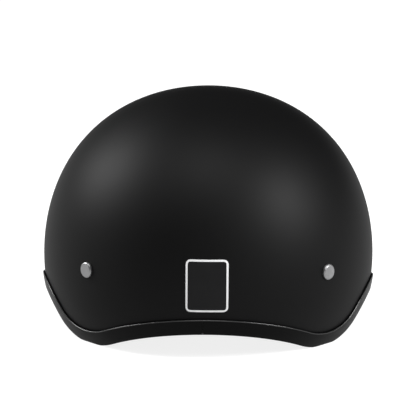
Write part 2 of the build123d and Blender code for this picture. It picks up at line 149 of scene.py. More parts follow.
def rounded_outline(corners: np.ndarray, radii: np.ndarray, steps: int = 5) -> np.ndarray:
    """Closed outline with each corner replaced by a parabola from one of its edges to the other.

    Args:
        corners: corner points, one row each.
        radii: how far from its corner each curve starts.
        steps: spans of each curve.

    Returns:
        The outline's points in order.
    """
    corners = np.asarray(corners, float)
    radii = np.asarray(radii, float)[:, None]
    start = corners + unit(np.roll(corners, 1, axis=0) - corners) * radii
    end = corners + unit(np.roll(corners, -1, axis=0) - corners) * radii
    t = np.linspace(0, 1, steps + 1)[None, :, None]
    return parabola(start[:, None], corners[:, None], end[:, None], t).reshape(-1, corners.shape[1])


def rectangle(half_x: float, half_y: float) -> np.ndarray:
    """Corners of a rectangle about the origin."""
    return np.array([[half_x, half_y], [-half_x, half_y], [-half_x, -half_y], [half_x, -half_y]])


def grid_quads(rows: int, columns: int, wrap_rows: bool) -> np.ndarray:
    """Corner indices of the quads of a grid whose rows each close on themselves.

    Args:
        rows: rows of points.
        columns: points in a row.
        wrap_rows: whether the last row joins the first.

    Returns:
        An array of four indices a quad.
    """
    r = np.arange(rows if wrap_rows else rows - 1)[:, None]
    c = np.arange(columns)[None, :]
    here, ahead, c_next = r * columns, (r + 1) % rows * columns, (c + 1) % columns
    return np.stack([here + c, here + c_next, ahead + c_next, ahead + c], -1).reshape(-1, 4)


@dataclass
class Skin:
    """Points and faces of one closed piece, before it becomes a mesh.

    Attributes:
        points: all points.
        faces: quads and triangles, as lists of indices.
        marks: a material number for each face.
        chart: a pair of pattern coordinates for each point, in metres.
    """

    points: np.ndarray
    faces: list[np.ndarray]
    marks: list[int] = field(default_factory=list)
    chart: np.ndarray | None = None

    @staticmethod
    def over(points: np.ndarray, wrap_rows: bool = False, chart: np.ndarray | None = None) -> "Skin":
        """Skin over a grid of points; a fan closes each end where the rows don't wrap.

        Args:
            points: an array of rows by columns by three, each row closed on itself.
            wrap_rows: whether the last row joins the first.
            chart: pattern coordinates, rows by columns by two, for rows that don't wrap.

        Returns:
            The skin, with its faces outwards.
        """
        rows, columns = points.shape[:2]
        flat = points.reshape(-1, 3)
        faces = [grid_quads(rows, columns, wrap_rows)]
        if not wrap_rows:
            ring = np.arange(columns)
            following = np.roll(ring, -1)
            last = (rows - 1) * columns
            flat = np.vstack([flat, points[0].mean(0), points[-1].mean(0)])
            first_middle = np.full(columns, rows * columns)
            faces.append(np.stack([first_middle, following, ring], -1))
            faces.append(np.stack([first_middle + 1, last + ring, last + following], -1))
        if chart is not None:
            chart = np.vstack([chart.reshape(-1, 2), chart[0].mean(0), chart[-1].mean(0)])
        skin = Skin(flat, faces, chart=chart)
        skin.face_outwards()
        return skin

    def volume(self) -> float:
        """Signed volume: a sixth of the sum of a.(b x c) over the faces' triangles."""
        total = 0.0
        for block in self.faces:
            a = self.points[block[:, 0]]
            for step in range(1, block.shape[1] - 1):
                b, c = self.points[block[:, step]], self.points[block[:, step + 1]]
                total += float(np.einsum("ij,ij->i", a, np.cross(b, c)).sum())
        return total / 6

    def face_outwards(self) -> None:
        """Turn all faces round where the signed volume is negative."""
        if self.volume() < 0:
            self.faces = [block[:, ::-1] for block in self.faces]

    @staticmethod
    def together(skins: list["Skin"]) -> "Skin":
        """Several skins in one, each still closed."""
        starts = np.cumsum([0] + [len(skin.points) for skin in skins])
        faces = [block + start for skin, start in zip(skins, starts) for block in skin.faces]
        return Skin(np.vstack([skin.points for skin in skins]), faces)


def piece_from(name: str, skin: Skin, *materials: Material, crease: float = 40.0) -> Object:
    """New smooth-shaded object at the origin from a skin.

    Args:
        name: name of the piece.
        skin: its points and faces.
        materials: its material slots.
        crease: edges whose faces meet at more than this many degrees stay sharp.

    Returns:
        The object, linked to the scene.
    """
    mesh = bpy.data.meshes.new(name)
    faces = [face for block in skin.faces for face in block.tolist()]
    mesh.from_pydata(skin.points.tolist(), [], faces)
    mesh.shade_smooth()
    mesh.set_sharp_from_angle(angle=math.radians(crease))
    if skin.chart is not None:
        corners = np.empty(len(mesh.loops), np.int32)
        mesh.loops.foreach_get("vertex_index", corners)
        layer = mesh.uv_layers.new(name="lay")
        layer.data.foreach_set("uv", skin.chart[corners].astype(np.float32).ravel())
    for material in materials:
        mesh.materials.append(material)
    if skin.marks:
        mesh.polygons.foreach_set("material_index", np.asarray(skin.marks, np.int32))
    mesh.validate()
    mesh.update()
    obj = bpy.data.objects.new(name, mesh)
    bpy.context.scene.collection.objects.link(obj)
    return obj


def round_turn(count: int) -> np.ndarray:
    """So many even angles from 0 to a full turn, without its end."""
    return np.linspace(0, 2 * math.pi, count, endpoint=False)


def way_round(path: np.ndarray) -> np.ndarray:
    """Direction of a closed path at each point, from the one before to the one after."""
    return unit(np.roll(path, -1, axis=0) - np.roll(path, 1, axis=0))


def tube(path: np.ndarray, radius: float, across: np.ndarray, sides: int = 14) -> Skin:
    """Round wire along a closed path: each ring is P + r (cos a N + sin a B).

    Args:
        path: points of the middle line.
        radius: radius of the wire.
        across: direction that B is nearest to, one for all points or one for each.
        sides: points round the wire.

    Returns:
        The wire's skin.
    """
    along = way_round(path)
    across = np.broadcast_to(across, path.shape)
    b = unit(across - along * np.einsum("ij,ij->i", along, across)[:, None])
    n = np.cross(along, b)
    a = round_turn(sides)[None, :, None]
    rings = path[:, None] + radius * (np.cos(a) * n[:, None] + np.sin(a) * b[:, None])
    return Skin.over(rings, wrap_rows=True)


def turned(profile: np.ndarray, origin: np.ndarray, x: np.ndarray, z: np.ndarray, sides: int = 72) -> Skin:
    """Lathe-turned body: a point at radius r and height h becomes O + r (cos a X + sin a Y) + h Z.

    Args:
        profile: pairs of radius and height from one end to the other, not on the axis.
        origin: foot of the axis.
        x: direction of the turn's start.
        z: direction of the axis.
        sides: points round the axis.

    Returns:
        The body's skin, closed by fans at both ends.
    """
    y = np.cross(z, x)
    a = round_turn(sides)[None, :, None]
    radius, height = profile[:, 0][:, None, None], profile[:, 1][:, None, None]
    rings = origin + radius * (np.cos(a) * x + np.sin(a) * y) + height * z
    return Skin.over(rings)


def stitch_line(places: np.ndarray, along: np.ndarray, up: np.ndarray, length: float, radius: float) -> Skin:
    """Row of stitches, each a short thread that rises from the cloth and dips back into it.

    A stitch's middle line is P + s L/2 T + r (1 - s^2) U for s from -1 to 1, and its radius is
    r sqrt(1 - s^2 / 2).

    Args:
        places: middle of each stitch.
        along: direction of each stitch.
        up: direction out of the cloth at each stitch.
        length: length of a stitch.
        radius: radius of the thread.

    Returns:
        One skin of all stitches.
    """
    stations, sides = 5, 6
    s = np.linspace(-1, 1, stations)[None, :, None, None]
    a = round_turn(sides)[None, None, :, None]
    p, t, u = (np.asarray(v, float)[:, None, None] for v in (places, along, up))
    side = np.cross(t, u)
    thick = radius * np.sqrt(1 - s**2 / 2)
    rings = p + s * length / 2 * t + radius * (1 - s**2) * u + thick * (np.cos(a) * side + np.sin(a) * u)
    return Skin.together([Skin.over(ring) for ring in rings])


# Shape of the shell


@dataclass(frozen=True)
class Dome:
    """Taut dome whose outside is the shell's.

    A direction n on the unit sphere becomes (w nx, l ny, c nz) times a swell, where the half width w
    grows backwards, and the whole is then tipped forwards about X and raised.
    """

    half_length: float = 128.0 * MM
    half_width: float = 107.3 * MM
    crown: float = 108.7 * MM
    taper: float = 0.06
    fullness: float = 0.019
    tilt: float = math.radians(10.6)
    equator: float = 41.4 * MM

    def direction(self, p: np.ndarray, q: np.ndarray) -> np.ndarray:
        """Unit sphere direction of map coordinates: (2p, 2q, 2) / (1 + p^2 + q^2), less 1 in z."""
        scale = 1 + p * p + q * q
        return np.stack([2 * p / scale, 2 * q / scale, 2 / scale - 1], -1)

    def tipped(self, vectors: np.ndarray) -> np.ndarray:
        """Vectors turned about X by the tilt: y' = y cos t - z sin t, z' = y sin t + z cos t."""
        c, s = math.cos(self.tilt), math.sin(self.tilt)
        x, y, z = vectors[..., 0], vectors[..., 1], vectors[..., 2]
        return np.stack([x, y * c - z * s, y * s + z * c], -1)

    def plain_normal(self, p: np.ndarray, q: np.ndarray) -> np.ndarray:
        """Outward normal before the tilt: the gradient of the tapered ellipsoid."""
        n = self.direction(p, q)
        width = self.half_width * (1 + self.taper * n[..., 1])
        gx = n[..., 0] / width
        gy = (n[..., 1] - self.half_width * self.taper * n[..., 0] * gx) / self.half_length
        return unit(np.stack([gx, gy, n[..., 2] / self.crown], -1))

    def normal(self, p: np.ndarray, q: np.ndarray) -> np.ndarray:
        """Outward normal in the frame of the model."""
        return self.tipped(self.plain_normal(np.asarray(p, float), np.asarray(q, float)))

    def point(self, p: np.ndarray, q: np.ndarray, depth: np.ndarray | float = 0.0) -> np.ndarray:
        """Point at a depth under the outside.

        Args:
            p: first map coordinate.
            q: second map coordinate.
            depth: distance inwards along the normal, a number or an array like p.

        Returns:
            Points, with a last axis of three.
        """
        p, q = np.asarray(p, float), np.asarray(q, float)
        n = self.direction(p, q)
        swell = 1 + 4 * self.fullness * n[..., 2] ** 2 * (1 - n[..., 2] ** 2)
        width = self.half_width * (1 + self.taper * n[..., 1])
        outside = np.stack([width * n[..., 0], self.half_length * n[..., 1], self.crown * n[..., 2]], -1)
        inside = outside * swell[..., None] - self.plain_normal(p, q) * np.asarray(depth, float)[..., None]
        return self.tipped(inside) + np.array([0, 0, self.equator])

    def place(self, bearing: np.ndarray, level: np.ndarray) -> tuple[np.ndarray, np.ndarray]:
        """Map coordinates of a bearing from the back and a level above the widest line, in degrees."""
        b, l = np.radians(bearing), np.radians(level)
        reach = np.cos(l) / (1 + np.sin(l))
        return reach * np.sin(b), reach * np.cos(b)

    def under(self, origin: np.ndarray, x: np.ndarray, y: np.ndarray, across: np.ndarray,
              upward: np.ndarray, depth: float, guess: Pair) -> tuple[np.ndarray, np.ndarray]:
        """Map coordinates of the points that a plane's points x, y fall on along the plane's normal.

        Newton's rule on the two in-plane coordinates, with slopes taken over a small step.

        Args:
            origin: the plane's origin.
            x: coordinates along the plane's first direction.
            y: coordinates along its second direction.
            across: the first direction.
            upward: the second direction.
            depth: depth under the outside.
            guess: bearing and level to start from, in degrees.

        Returns:
            The two map coordinates.
        """
        start_p, start_q = self.place(*guess)
        p, q = np.full(np.shape(x), float(start_p)), np.full(np.shape(x), float(start_q))
        rounds, small, longest = 14, 1e-5, 0.3
        for _ in range(rounds):
            here = self.point(p, q, depth) - origin
            by_p = (self.point(p + small, q, depth) - origin - here) / small
            by_q = (self.point(p, q + small, depth) - origin - here) / small
            miss_x, miss_y = x - here @ across, y - here @ upward
            a, b, c, d = by_p @ across, by_q @ across, by_p @ upward, by_q @ upward
            rate = a * d - b * c
            p = p + np.clip((miss_x * d - b * miss_y) / rate, -longest, longest)
            q = q + np.clip((a * miss_y - miss_x * c) / rate, -longest, longest)
        return p, q


@dataclass(frozen=True)
class Rim:
    """Lower edge of the shell, drawn in side view as straight runs with rounded corners.

    The plain rim is the one that the pads were fitted to. The seen rim is the visible edge's.

    Attributes:
        dome: dome that the edge lies on.
        half_length: half length of the dome.
        web: height of the edge's lowest places over the table.
        brow_share: place of the corner behind the brow, as a share of the half length.
        lobe_share: place of the lobe's lowest point, as a share of the half length.
        lobe_radius: radius of the arc at the lobe.
        ear_slope: slope of the fall from the ear to the lobe.
        ear_rise: height of the corner over the ear, where the climb from the brow meets that fall.
        ear_radius: radius of the arc at that corner.
        temple_radius: radius of the arc behind the brow.
        neck_slope: slope from the lobe up to the neck.
        levels: levels between which the edge is sought.
        halvings: times that this interval is halved.
        step: small turn over which the edge's direction is taken, in degrees.
    """

    dome: Dome
    half_length: float = 128.0 * MM
    web: float = 2.0 * MM
    brow_share: float = 0.766
    lobe_share: float = 0.68
    lobe_radius: float = 28.0 * MM
    ear_slope: float = math.radians(42.0)
    ear_rise: float = 30.9 * MM
    ear_radius: float = 62.0 * MM
    temple_radius: float = 150.0 * MM
    neck_slope: float = math.radians(27.5)
    levels: Pair = (-60.0, 10.0)
    halvings: int = 40
    step: float = 0.25

    @staticmethod
    def seen(dome: Dome) -> "Rim":
        """Rim with a wider lobe, and an ear that is lower behind and turns more tightly."""
        return Rim(dome, lobe_share=0.65, lobe_radius=34.4 * MM, ear_slope=math.radians(45.0),
                   ear_rise=28.0 * MM, ear_radius=42.0 * MM)

    def corners(self) -> list[Pair]:
        """Corners of the side view from the front to the back, as pairs of y and z."""
        radius = self.lobe_radius
        middle, high = self.half_length * self.lobe_share, self.web + radius
        ear, neck = ((middle + way * radius * math.sin(slope), high - radius * math.cos(slope))
                     for way, slope in ((-1, self.ear_slope), (1, self.neck_slope)))
        fall, climb = math.tan(self.ear_slope), math.tan(self.neck_slope)
        lobe_y = (ear[1] - neck[1] + fall * ear[0] + climb * neck[0]) / (fall + climb)
        far = 2 * self.half_length
        return [
            (-far, self.web),
            (-self.half_length * self.brow_share, self.web),
            (ear[0] - (self.ear_rise - ear[1]) / fall, self.ear_rise),
            (lobe_y, neck[1] + climb * (lobe_y - neck[0])),
            (far, neck[1] + climb * (far - neck[0])),
        ]

    def height(self, y: np.ndarray) -> np.ndarray:
        """Height of the edge at places along the helmet, from the straight runs and the corner arcs."""
        y = np.asarray(y, float)
        corners = self.corners()
        radii = (self.temple_radius, self.ear_radius, self.lobe_radius)
        height = np.full(y.shape, self.web)
        for before, corner, after, radius in zip(corners, corners[1:], corners[2:], radii):
            first = math.atan2(corner[1] - before[1], corner[0] - before[0])
            second = math.atan2(after[1] - corner[1], after[0] - corner[0])
            turn = math.copysign(1, second - first)
            reach = radius * math.tan(abs(second - first) / 2)
            start = (corner[0] - reach * math.cos(first), corner[1] - reach * math.sin(first))
            middle = (start[0] - turn * radius * math.sin(first), start[1] + turn * radius * math.cos(first))
            arc = middle[1] - turn * np.sqrt(np.maximum(radius**2 - (y - middle[0]) ** 2, 0))
            height = np.where(y >= start[0], arc, height)
            height = np.where(y >= corner[0] + reach * math.cos(second),
                              corner[1] + (y - corner[0]) * math.tan(second), height)
        return height

    def level(self, bearing: np.ndarray) -> np.ndarray:
        """Level of the edge at each bearing, found by halving an interval of levels."""
        bearing = np.asarray(bearing, float)
        low, high = (np.full(bearing.shape, level) for level in self.levels)
        for _ in range(self.halvings):
            middle = (low + high) / 2
            here = self.dome.point(*self.dome.place(bearing, middle))
            under = here[..., 2] < self.height(here[..., 1])
            low, high = np.where(under, middle, low), np.where(under, high, middle)
        return low

    def frames(self, bearing: np.ndarray) -> tuple[np.ndarray, np.ndarray, np.ndarray]:
        """Point of the edge, outward direction and upward direction along the shell at each bearing."""
        behind, here, ahead = (self.dome.place(turn, self.level(turn))
                               for turn in (bearing - self.step, bearing, bearing + self.step))
        outwards = self.dome.normal(*here)
        forwards = unit(self.dome.point(*ahead) - self.dome.point(*behind))
        return self.dome.point(*here), outwards, unit(np.cross(forwards, outwards))

    def raised(self, bearing: np.ndarray, rise: float) -> np.ndarray:
        """Level of a line that stands a distance above the edge, measured up the shell."""
        level = self.level(bearing)
        foot = self.dome.point(*self.dome.place(bearing, level))
        above = self.dome.point(*self.dome.place(bearing, level + 1))
        _, _, up = self.frames(bearing)
        gain = np.einsum("...j,...j->...", above - foot, up)
        return level + rise / gain


# Finishes


class Graph:
    """Node graph of one material: adds nodes, sets their inputs and joins them.

    Attributes:
        MOST_OF_NOISE: range that most of a noise's values lie in.
    """

    MOST_OF_NOISE = (0.3, 0.7)

    def __init__(self, name: str) -> None:
        """Start an empty material with an output.

        Args:
            name: name of the material.
        """
        self.material = bpy.data.materials.new(name)
        self.material.use_nodes = True
        self.tree = self.material.node_tree
        self.tree.nodes.clear()
        self.output = self.tree.nodes.new("ShaderNodeOutputMaterial")

    def add(self, kind: str, inputs: dict[str | int, object] | None = None, **settings: object) -> Node:
        """Add a node.

        Args:
            kind: the node's type.
            inputs: a value or an output socket for each named input.
            settings: attributes of the node.

        Returns:
            The node.
        """
        node = self.tree.nodes.new(kind)
        for name, value in settings.items():
            setattr(node, name, value)
        for name, value in (inputs or {}).items():
            if isinstance(value, Socket):
                self.tree.links.new(value, node.inputs[name])
            else:
                node.inputs[name].default_value = value
        return node

    def where(self, scale: Triple = (1, 1, 1), lay: bool = False) -> Socket:
        """Object coordinates, or the piece's own chart, times a scale."""
        if lay:
            source = self.add("ShaderNodeUVMap", uv_map="lay").outputs["UV"]
        else:
            source = self.add("ShaderNodeTexCoord").outputs["Object"]
        return self.add("ShaderNodeMapping", {"Vector": source, "Scale": scale}).outputs["Vector"]

    def noise(self, cells: float, detail: float, stretch: Triple = (1, 1, 1), **inputs: float) -> Socket:
        """Cloudy noise with so many cells a metre, stretched along the axes where asked."""
        place = {"Vector": self.where(stretch), "Scale": cells, "Detail": detail}
        return self.add("ShaderNodeTexNoise", {**place, **inputs}).outputs["Fac"]

    def reckoned(self, operation: str, *values: Socket | float) -> Socket:
        """Result of a sum or function of one to three values."""
        return self.add("ShaderNodeMath", dict(enumerate(values)), operation=operation).outputs[0]

    def ramp(self, value: Socket, low: float, high: float, start: float, end: float) -> Socket:
        """A value between low and high mapped to one between start and end, held at both."""
        inputs = {"Value": value, "From Min": low, "From Max": high, "To Min": start, "To Max": end}
        return self.add("ShaderNodeMapRange", inputs).outputs["Result"]

    def spread(self, noise: Socket, start: float, end: float) -> Socket:
        """Value that goes from start to end over the range that most of a noise lies in."""
        return self.ramp(noise, *self.MOST_OF_NOISE, start, end)

    def tint(self, share: Socket, dark: Triple, light: Triple) -> Socket:
        """Colour between two, by a share."""
        inputs = {"Factor": share, 6: (*dark, 1.0), 7: (*light, 1.0)}
        return self.add("ShaderNodeMix", inputs, data_type="RGBA").outputs[2]

    def bumped(self, bumps: Socket, height: float, strength: float, under: Socket | None = None) -> Socket:
        """Normal that bumps of a height in millimetres give, over another normal where asked."""
        inputs: dict[str | int, object] = {"Height": bumps, "Distance": height * MM, "Strength": strength}
        if under is not None:
            inputs["Normal"] = under
        return self.add("ShaderNodeBump", inputs).outputs["Normal"]

    def finish(self, inputs: dict[str | int, object]) -> Material:
        """Join a principled shader with these inputs to the output."""
        shader = self.add("ShaderNodeBsdfPrincipled", inputs)
        self.tree.links.new(shader.outputs["BSDF"], self.output.inputs["Surface"])
        return self.material


@dataclass(frozen=True)
class MattePaint:
    """Flat black paint: almost no colour, broad soft gloss, the finest grain and faint handling marks.

    Here and below, a noise is given by its cells a metre and its detail, and its relief by the height
    of the bumps in millimetres and their strength.

    Attributes:
        name: name of the material.
        dark: colour of the clean paint.
        light: colour of the handling marks.
        specular: strength of the gloss.
        roughness: least and greatest roughness.
        grain: noise of the grain.
        grain_share: how much the finer layers of the grain show.
        grain_relief: relief of the grain.
        peel: noise of the sprayed coat's waves.
        peel_relief: relief of those waves.
        marks: noise of the handling marks.
    """

    name: str = "matte_black_paint"
    dark: Triple = (0.001, 0.001, 0.0011)
    light: Triple = (0.0022, 0.0022, 0.0023)
    specular: float = 0.135
    roughness: Pair = (0.53, 0.57)
    grain: Pair = (2600.0, 3.0)
    grain_share: float = 0.6
    grain_relief: Pair = (0.012, 0.5)
    peel: Pair = (320.0, 2.0)
    peel_relief: Pair = (0.02, 0.35)
    marks: Pair = (9.0, 4.0)

    def build(self) -> Material:
        """Make the material."""
        g = Graph(self.name)
        grain = g.noise(*self.grain, Roughness=self.grain_share)
        peel = g.noise(*self.peel)
        marks = g.noise(*self.marks)
        return g.finish({
            "Base Color": g.tint(marks, self.dark, self.light),
            "Roughness": g.spread(marks, *self.roughness),
            "Specular IOR Level": self.specular,
            "Normal": g.bumped(grain, *self.grain_relief, g.bumped(peel, *self.peel_relief)),
        })


@dataclass(frozen=True)
class GlossRubber:
    """Smooth black rubber with a soft gloss, slightly uneven as an extrusion is.

    Attributes:
        name: name of the material.
        colour: colour of the clean rubber.
        worn: colour where it is dusty.
        specular: strength of the gloss.
        smooth: least roughness.
        uneven: how far the roughness rises from there.
        flow_detail: detail of the extrusion's waves.
        flow_cells: cells a metre of those waves along each axis.
        flow_relief: relief of those waves.
        dust: noise of the dust.
    """

    name: str = "gloss_black_rubber"
    colour: Triple = (0.001, 0.001, 0.001)
    worn: Triple = (0.0025, 0.0025, 0.0025)
    specular: float = 0.07
    smooth: float = 0.34
    uneven: float = 0.1
    flow_detail: float = 3.0
    flow_cells: Triple = (60, 60, 340)
    flow_relief: Pair = (0.06, 0.25)
    dust: Pair = (900.0, 2.0)

    def build(self) -> Material:
        """Make the material."""
        g = Graph(self.name)
        flow = g.noise(1.0, self.flow_detail, self.flow_cells)
        dust = g.noise(*self.dust)
        return g.finish({
            "Base Color": g.tint(dust, self.colour, self.worn),
            "Roughness": g.spread(flow, self.smooth, self.smooth + self.uneven),
            "Specular IOR Level": self.specular,
            "Normal": g.bumped(flow, *self.flow_relief),
        })


@dataclass(frozen=True)
class SatinMetal:
    """Plated metal with a fine brushed grain and a slight drift of its colour and gloss.

    Attributes:
        name: name of the material.
        dark: darkest colour.
        light: lightest colour.
        roughness: usual roughness.
        grain: strength of the brushed lines.
        grain_height: height of the brushed lines, in millimetres.
        lines: noise of the brushed lines.
        lines_stretch: how much closer together their cells are along each axis.
        drift: noise of the drift.
        smoother: how far the roughness falls.
        rougher: how far it rises.
    """

    name: str
    dark: Triple
    light: Triple
    roughness: float
    grain: float = 0.5
    grain_height: float = 0.02
    lines: Pair = (2400.0, 4.0)
    lines_stretch: Triple = (1, 1, 7)
    drift: Pair = (260.0, 3.0)
    smoother: float = 0.04
    rougher: float = 0.05

    def build(self) -> Material:
        """Make the material."""
        g = Graph(self.name)
        lines = g.noise(*self.lines, self.lines_stretch)
        drift = g.noise(*self.drift)
        return g.finish({
            "Base Color": g.tint(drift, self.dark, self.light),
            "Metallic": 1.0,
            "Roughness": g.spread(drift, self.roughness - self.smoother, self.roughness + self.rougher),
            "Normal": g.bumped(lines, self.grain_height, self.grain),
        })


@dataclass(frozen=True)
class WovenWebbing:
    """Flat woven band: ribs across it in a zigzag, fine yarns along it, and a fuzzy surface.

    Attributes:
        name: name of the material.
        dark: colour in the grooves between the ribs, a painted shade.
        light: colour on the ribs' crowns; between the two the colour follows the weave's height as painted
            shade.
        light: colour on the ribs.
        column: width of a zigzag's leg, in millimetres.
        slant: how far a rib leans over a column, as a share of the column's width.
        rib_pitch: distance from rib to rib, in millimetres.
        yarn_pitch: distance from yarn to yarn, in millimetres.
        yarn_share: height of the yarns as a share of the ribs'.
        weave_relief: relief of ribs and yarns together.
        fuzz: noise of the fuzz.
        fuzz_relief: relief of the fuzz.
        roughness: roughness of the yarn.
        specular: strength of its gloss.
        sheen: strength of the light that its fibres catch.
        sheen_roughness: how widely they scatter it.
    """

    name: str = "woven_webbing"
    dark: Triple = (0.005, 0.005, 0.0055)
    light: Triple = (0.045, 0.045, 0.048)
    column: float = 2.0
    slant: float = 0.55
    rib_pitch: float = 1.05
    yarn_pitch: float = 0.5
    yarn_share: float = 0.35
    weave_relief: Pair = (0.22, 0.9)
    fuzz: Pair = (3500.0, 3.0)
    fuzz_relief: Pair = (0.08, 0.5)
    roughness: float = 0.72
    specular: float = 0.3
    sheen: float = 0.25
    sheen_roughness: float = 0.5

    def build(self) -> Material:
        """Make the material from the chart, which runs across the band and then along it.

        With x across and y along the band in millimetres, the height is
        sin(2 pi (y + slant * zigzag(x)) / rib pitch) + yarn share * sin(2 pi x / yarn pitch). The colour
        follows this height, a painted shade that darkens the grooves.
        """
        g = Graph(self.name)
        chart = g.add("ShaderNodeSeparateXYZ", {"Vector": g.where((1 / MM,) * 3, lay=True)}).outputs
        zigzag = g.reckoned("PINGPONG", chart["X"], self.column)
        slanted = g.reckoned("MULTIPLY_ADD", zigzag, self.slant, chart["Y"])
        rib = g.reckoned("SINE", g.reckoned("MULTIPLY", slanted, 2 * math.pi / self.rib_pitch))
        yarn = g.reckoned("SINE", g.reckoned("MULTIPLY", chart["X"], 2 * math.pi / self.yarn_pitch))
        both = g.reckoned("MULTIPLY_ADD", yarn, self.yarn_share, rib)
        fuzz = g.noise(*self.fuzz)
        height = g.ramp(both, -1 - self.yarn_share, 1 + self.yarn_share, 0.0, 1.0)
        return g.finish({
            # Colour by the weave's height: painted shade in the grooves, lighter on the ribs.
            "Base Color": g.tint(height, self.dark, self.light),
            "Roughness": self.roughness,
            "Specular IOR Level": self.specular,
            "Sheen Weight": self.sheen,
            "Sheen Roughness": self.sheen_roughness,
            "Normal": g.bumped(fuzz, *self.fuzz_relief, g.bumped(height, *self.weave_relief)),
        })


@dataclass(frozen=True)
class BrushedKnit:
    """Soft knitted cover over foam: small knit cells, a nap that catches light, slight pilling.

    Attributes:
        name: name of the material.
        dark: darkest colour.
        light: lightest colour.
        cell: knit cells a metre.
        uneven: how irregular the cells are.
        cell_edge: share of a cell's size at which its height has fallen to nothing.
        cell_relief: relief of the cells.
        nap: noise of the nap.
        nap_relief: relief of the nap.
        wear: noise of the pilling.
        wear_share: least and greatest share of the light colour.
        roughness: roughness of the yarn.
        specular: strength of its gloss.
        sheen: strength of the light that its fibres catch.
        sheen_roughness: how widely they scatter it.
    """

    name: str
    dark: Triple
    light: Triple
    cell: float = 1100.0
    uneven: float = 0.35
    cell_edge: float = 0.7
    cell_relief: Pair = (0.2, 0.7)
    nap: Pair = (2200.0, 4.0)
    nap_relief: Pair = (0.12, 0.6)
    wear: Pair = (38.0, 5.0)
    wear_share: Pair = (0.15, 0.9)
    roughness: float = 0.9
    specular: float = 0.2
    sheen: float = 0.35
    sheen_roughness: float = 0.45

    def build(self) -> Material:
        """Make the material."""
        g = Graph(self.name)
        cells = g.add(
            "ShaderNodeTexVoronoi", {"Vector": g.where(), "Scale": self.cell, "Randomness": self.uneven})
        nap = g.noise(*self.nap)
        wear = g.noise(*self.wear)
        height = g.ramp(cells.outputs["Distance"], 0.0, self.cell_edge, 1.0, 0.0)
        return g.finish({
            "Base Color": g.tint(g.spread(wear, *self.wear_share), self.dark, self.light),
            "Roughness": self.roughness,
            "Specular IOR Level": self.specular,
            "Sheen Weight": self.sheen,
            "Sheen Roughness": self.sheen_roughness,
            "Normal": g.bumped(nap, *self.nap_relief, g.bumped(height, *self.cell_relief)),
        })


@dataclass(frozen=True)
class BeadFoam:
    """Black bead foam: fused beads two to three millimetres across with dark seams between them.

    Attributes:
        name: name of the material.
        dark: colour of the seams.
        light: colour of the beads.
        beads: beads a metre.
        seam: share of a bead's size that its seam takes.
        seam_relief: relief of the seams.
        pores: noise of the beads' skin.
        pores_relief: relief of the skin.
        roughness: least and greatest roughness.
        specular: strength of the gloss.
    """

    name: str = "bead_foam"
    dark: Triple = (0.008, 0.008, 0.009)
    light: Triple = (0.028, 0.028, 0.03)
    beads: float = 400.0
    seam: float = 0.12
    seam_relief: Pair = (0.12, 0.8)
    pores: Pair = (1800.0, 3.0)
    pores_relief: Pair = (0.04, 0.4)
    roughness: Pair = (0.55, 0.75)
    specular: float = 0.3

    def build(self) -> Material:
        """Make the material."""
        g = Graph(self.name)
        cells = {"Vector": g.where(), "Scale": self.beads}
        beads = g.add("ShaderNodeTexVoronoi", cells, feature="DISTANCE_TO_EDGE")
        seam = g.ramp(beads.outputs["Distance"], 0.0, self.seam, 0.0, 1.0)
        pores = g.noise(*self.pores)
        return g.finish({
            "Base Color": g.tint(seam, self.dark, self.light),
            "Roughness": g.spread(pores, *self.roughness),
            "Specular IOR Level": self.specular,
            "Normal": g.bumped(pores, *self.pores_relief, g.bumped(seam, *self.seam_relief)),
        })


@dataclass(frozen=True)
class MouldedPlastic:
    """Moulded plastic with a fine spark-eroded grain, or a polished face.

    Attributes:
        name: name of the material.
        colour: darkest colour.
        highlight: lightest colour.
        roughness: usual roughness.
        grain: strength of the grain.
        specular: strength of the gloss.
        grain_height: height of the grain, in millimetres.
        spark: noise of the grain.
        flow: noise of the drift of colour and roughness.
        drift: how far the roughness falls and rises.
    """

    name: str
    colour: Triple
    highlight: Triple
    roughness: float
    grain: float
    specular: float = 0.4
    grain_height: float = 0.04
    spark: Pair = (2800.0, 4.0)
    flow: Pair = (90.0, 2.0)
    drift: float = 0.04

    def build(self) -> Material:
        """Make the material."""
        g = Graph(self.name)
        spark = g.noise(*self.spark)
        flow = g.noise(*self.flow)
        return g.finish({
            "Base Color": g.tint(flow, self.colour, self.highlight),
            "Roughness": g.spread(flow, self.roughness - self.drift, self.roughness + self.drift),
            "Specular IOR Level": self.specular,
            "Normal": g.bumped(spark, self.grain_height, self.grain),
        })


def made(recipe: type, *settings: object, **named: object) -> Material:
    """Field that holds the material which a recipe makes from these settings."""
    return field(default_factory=lambda: recipe(*settings, **named).build())


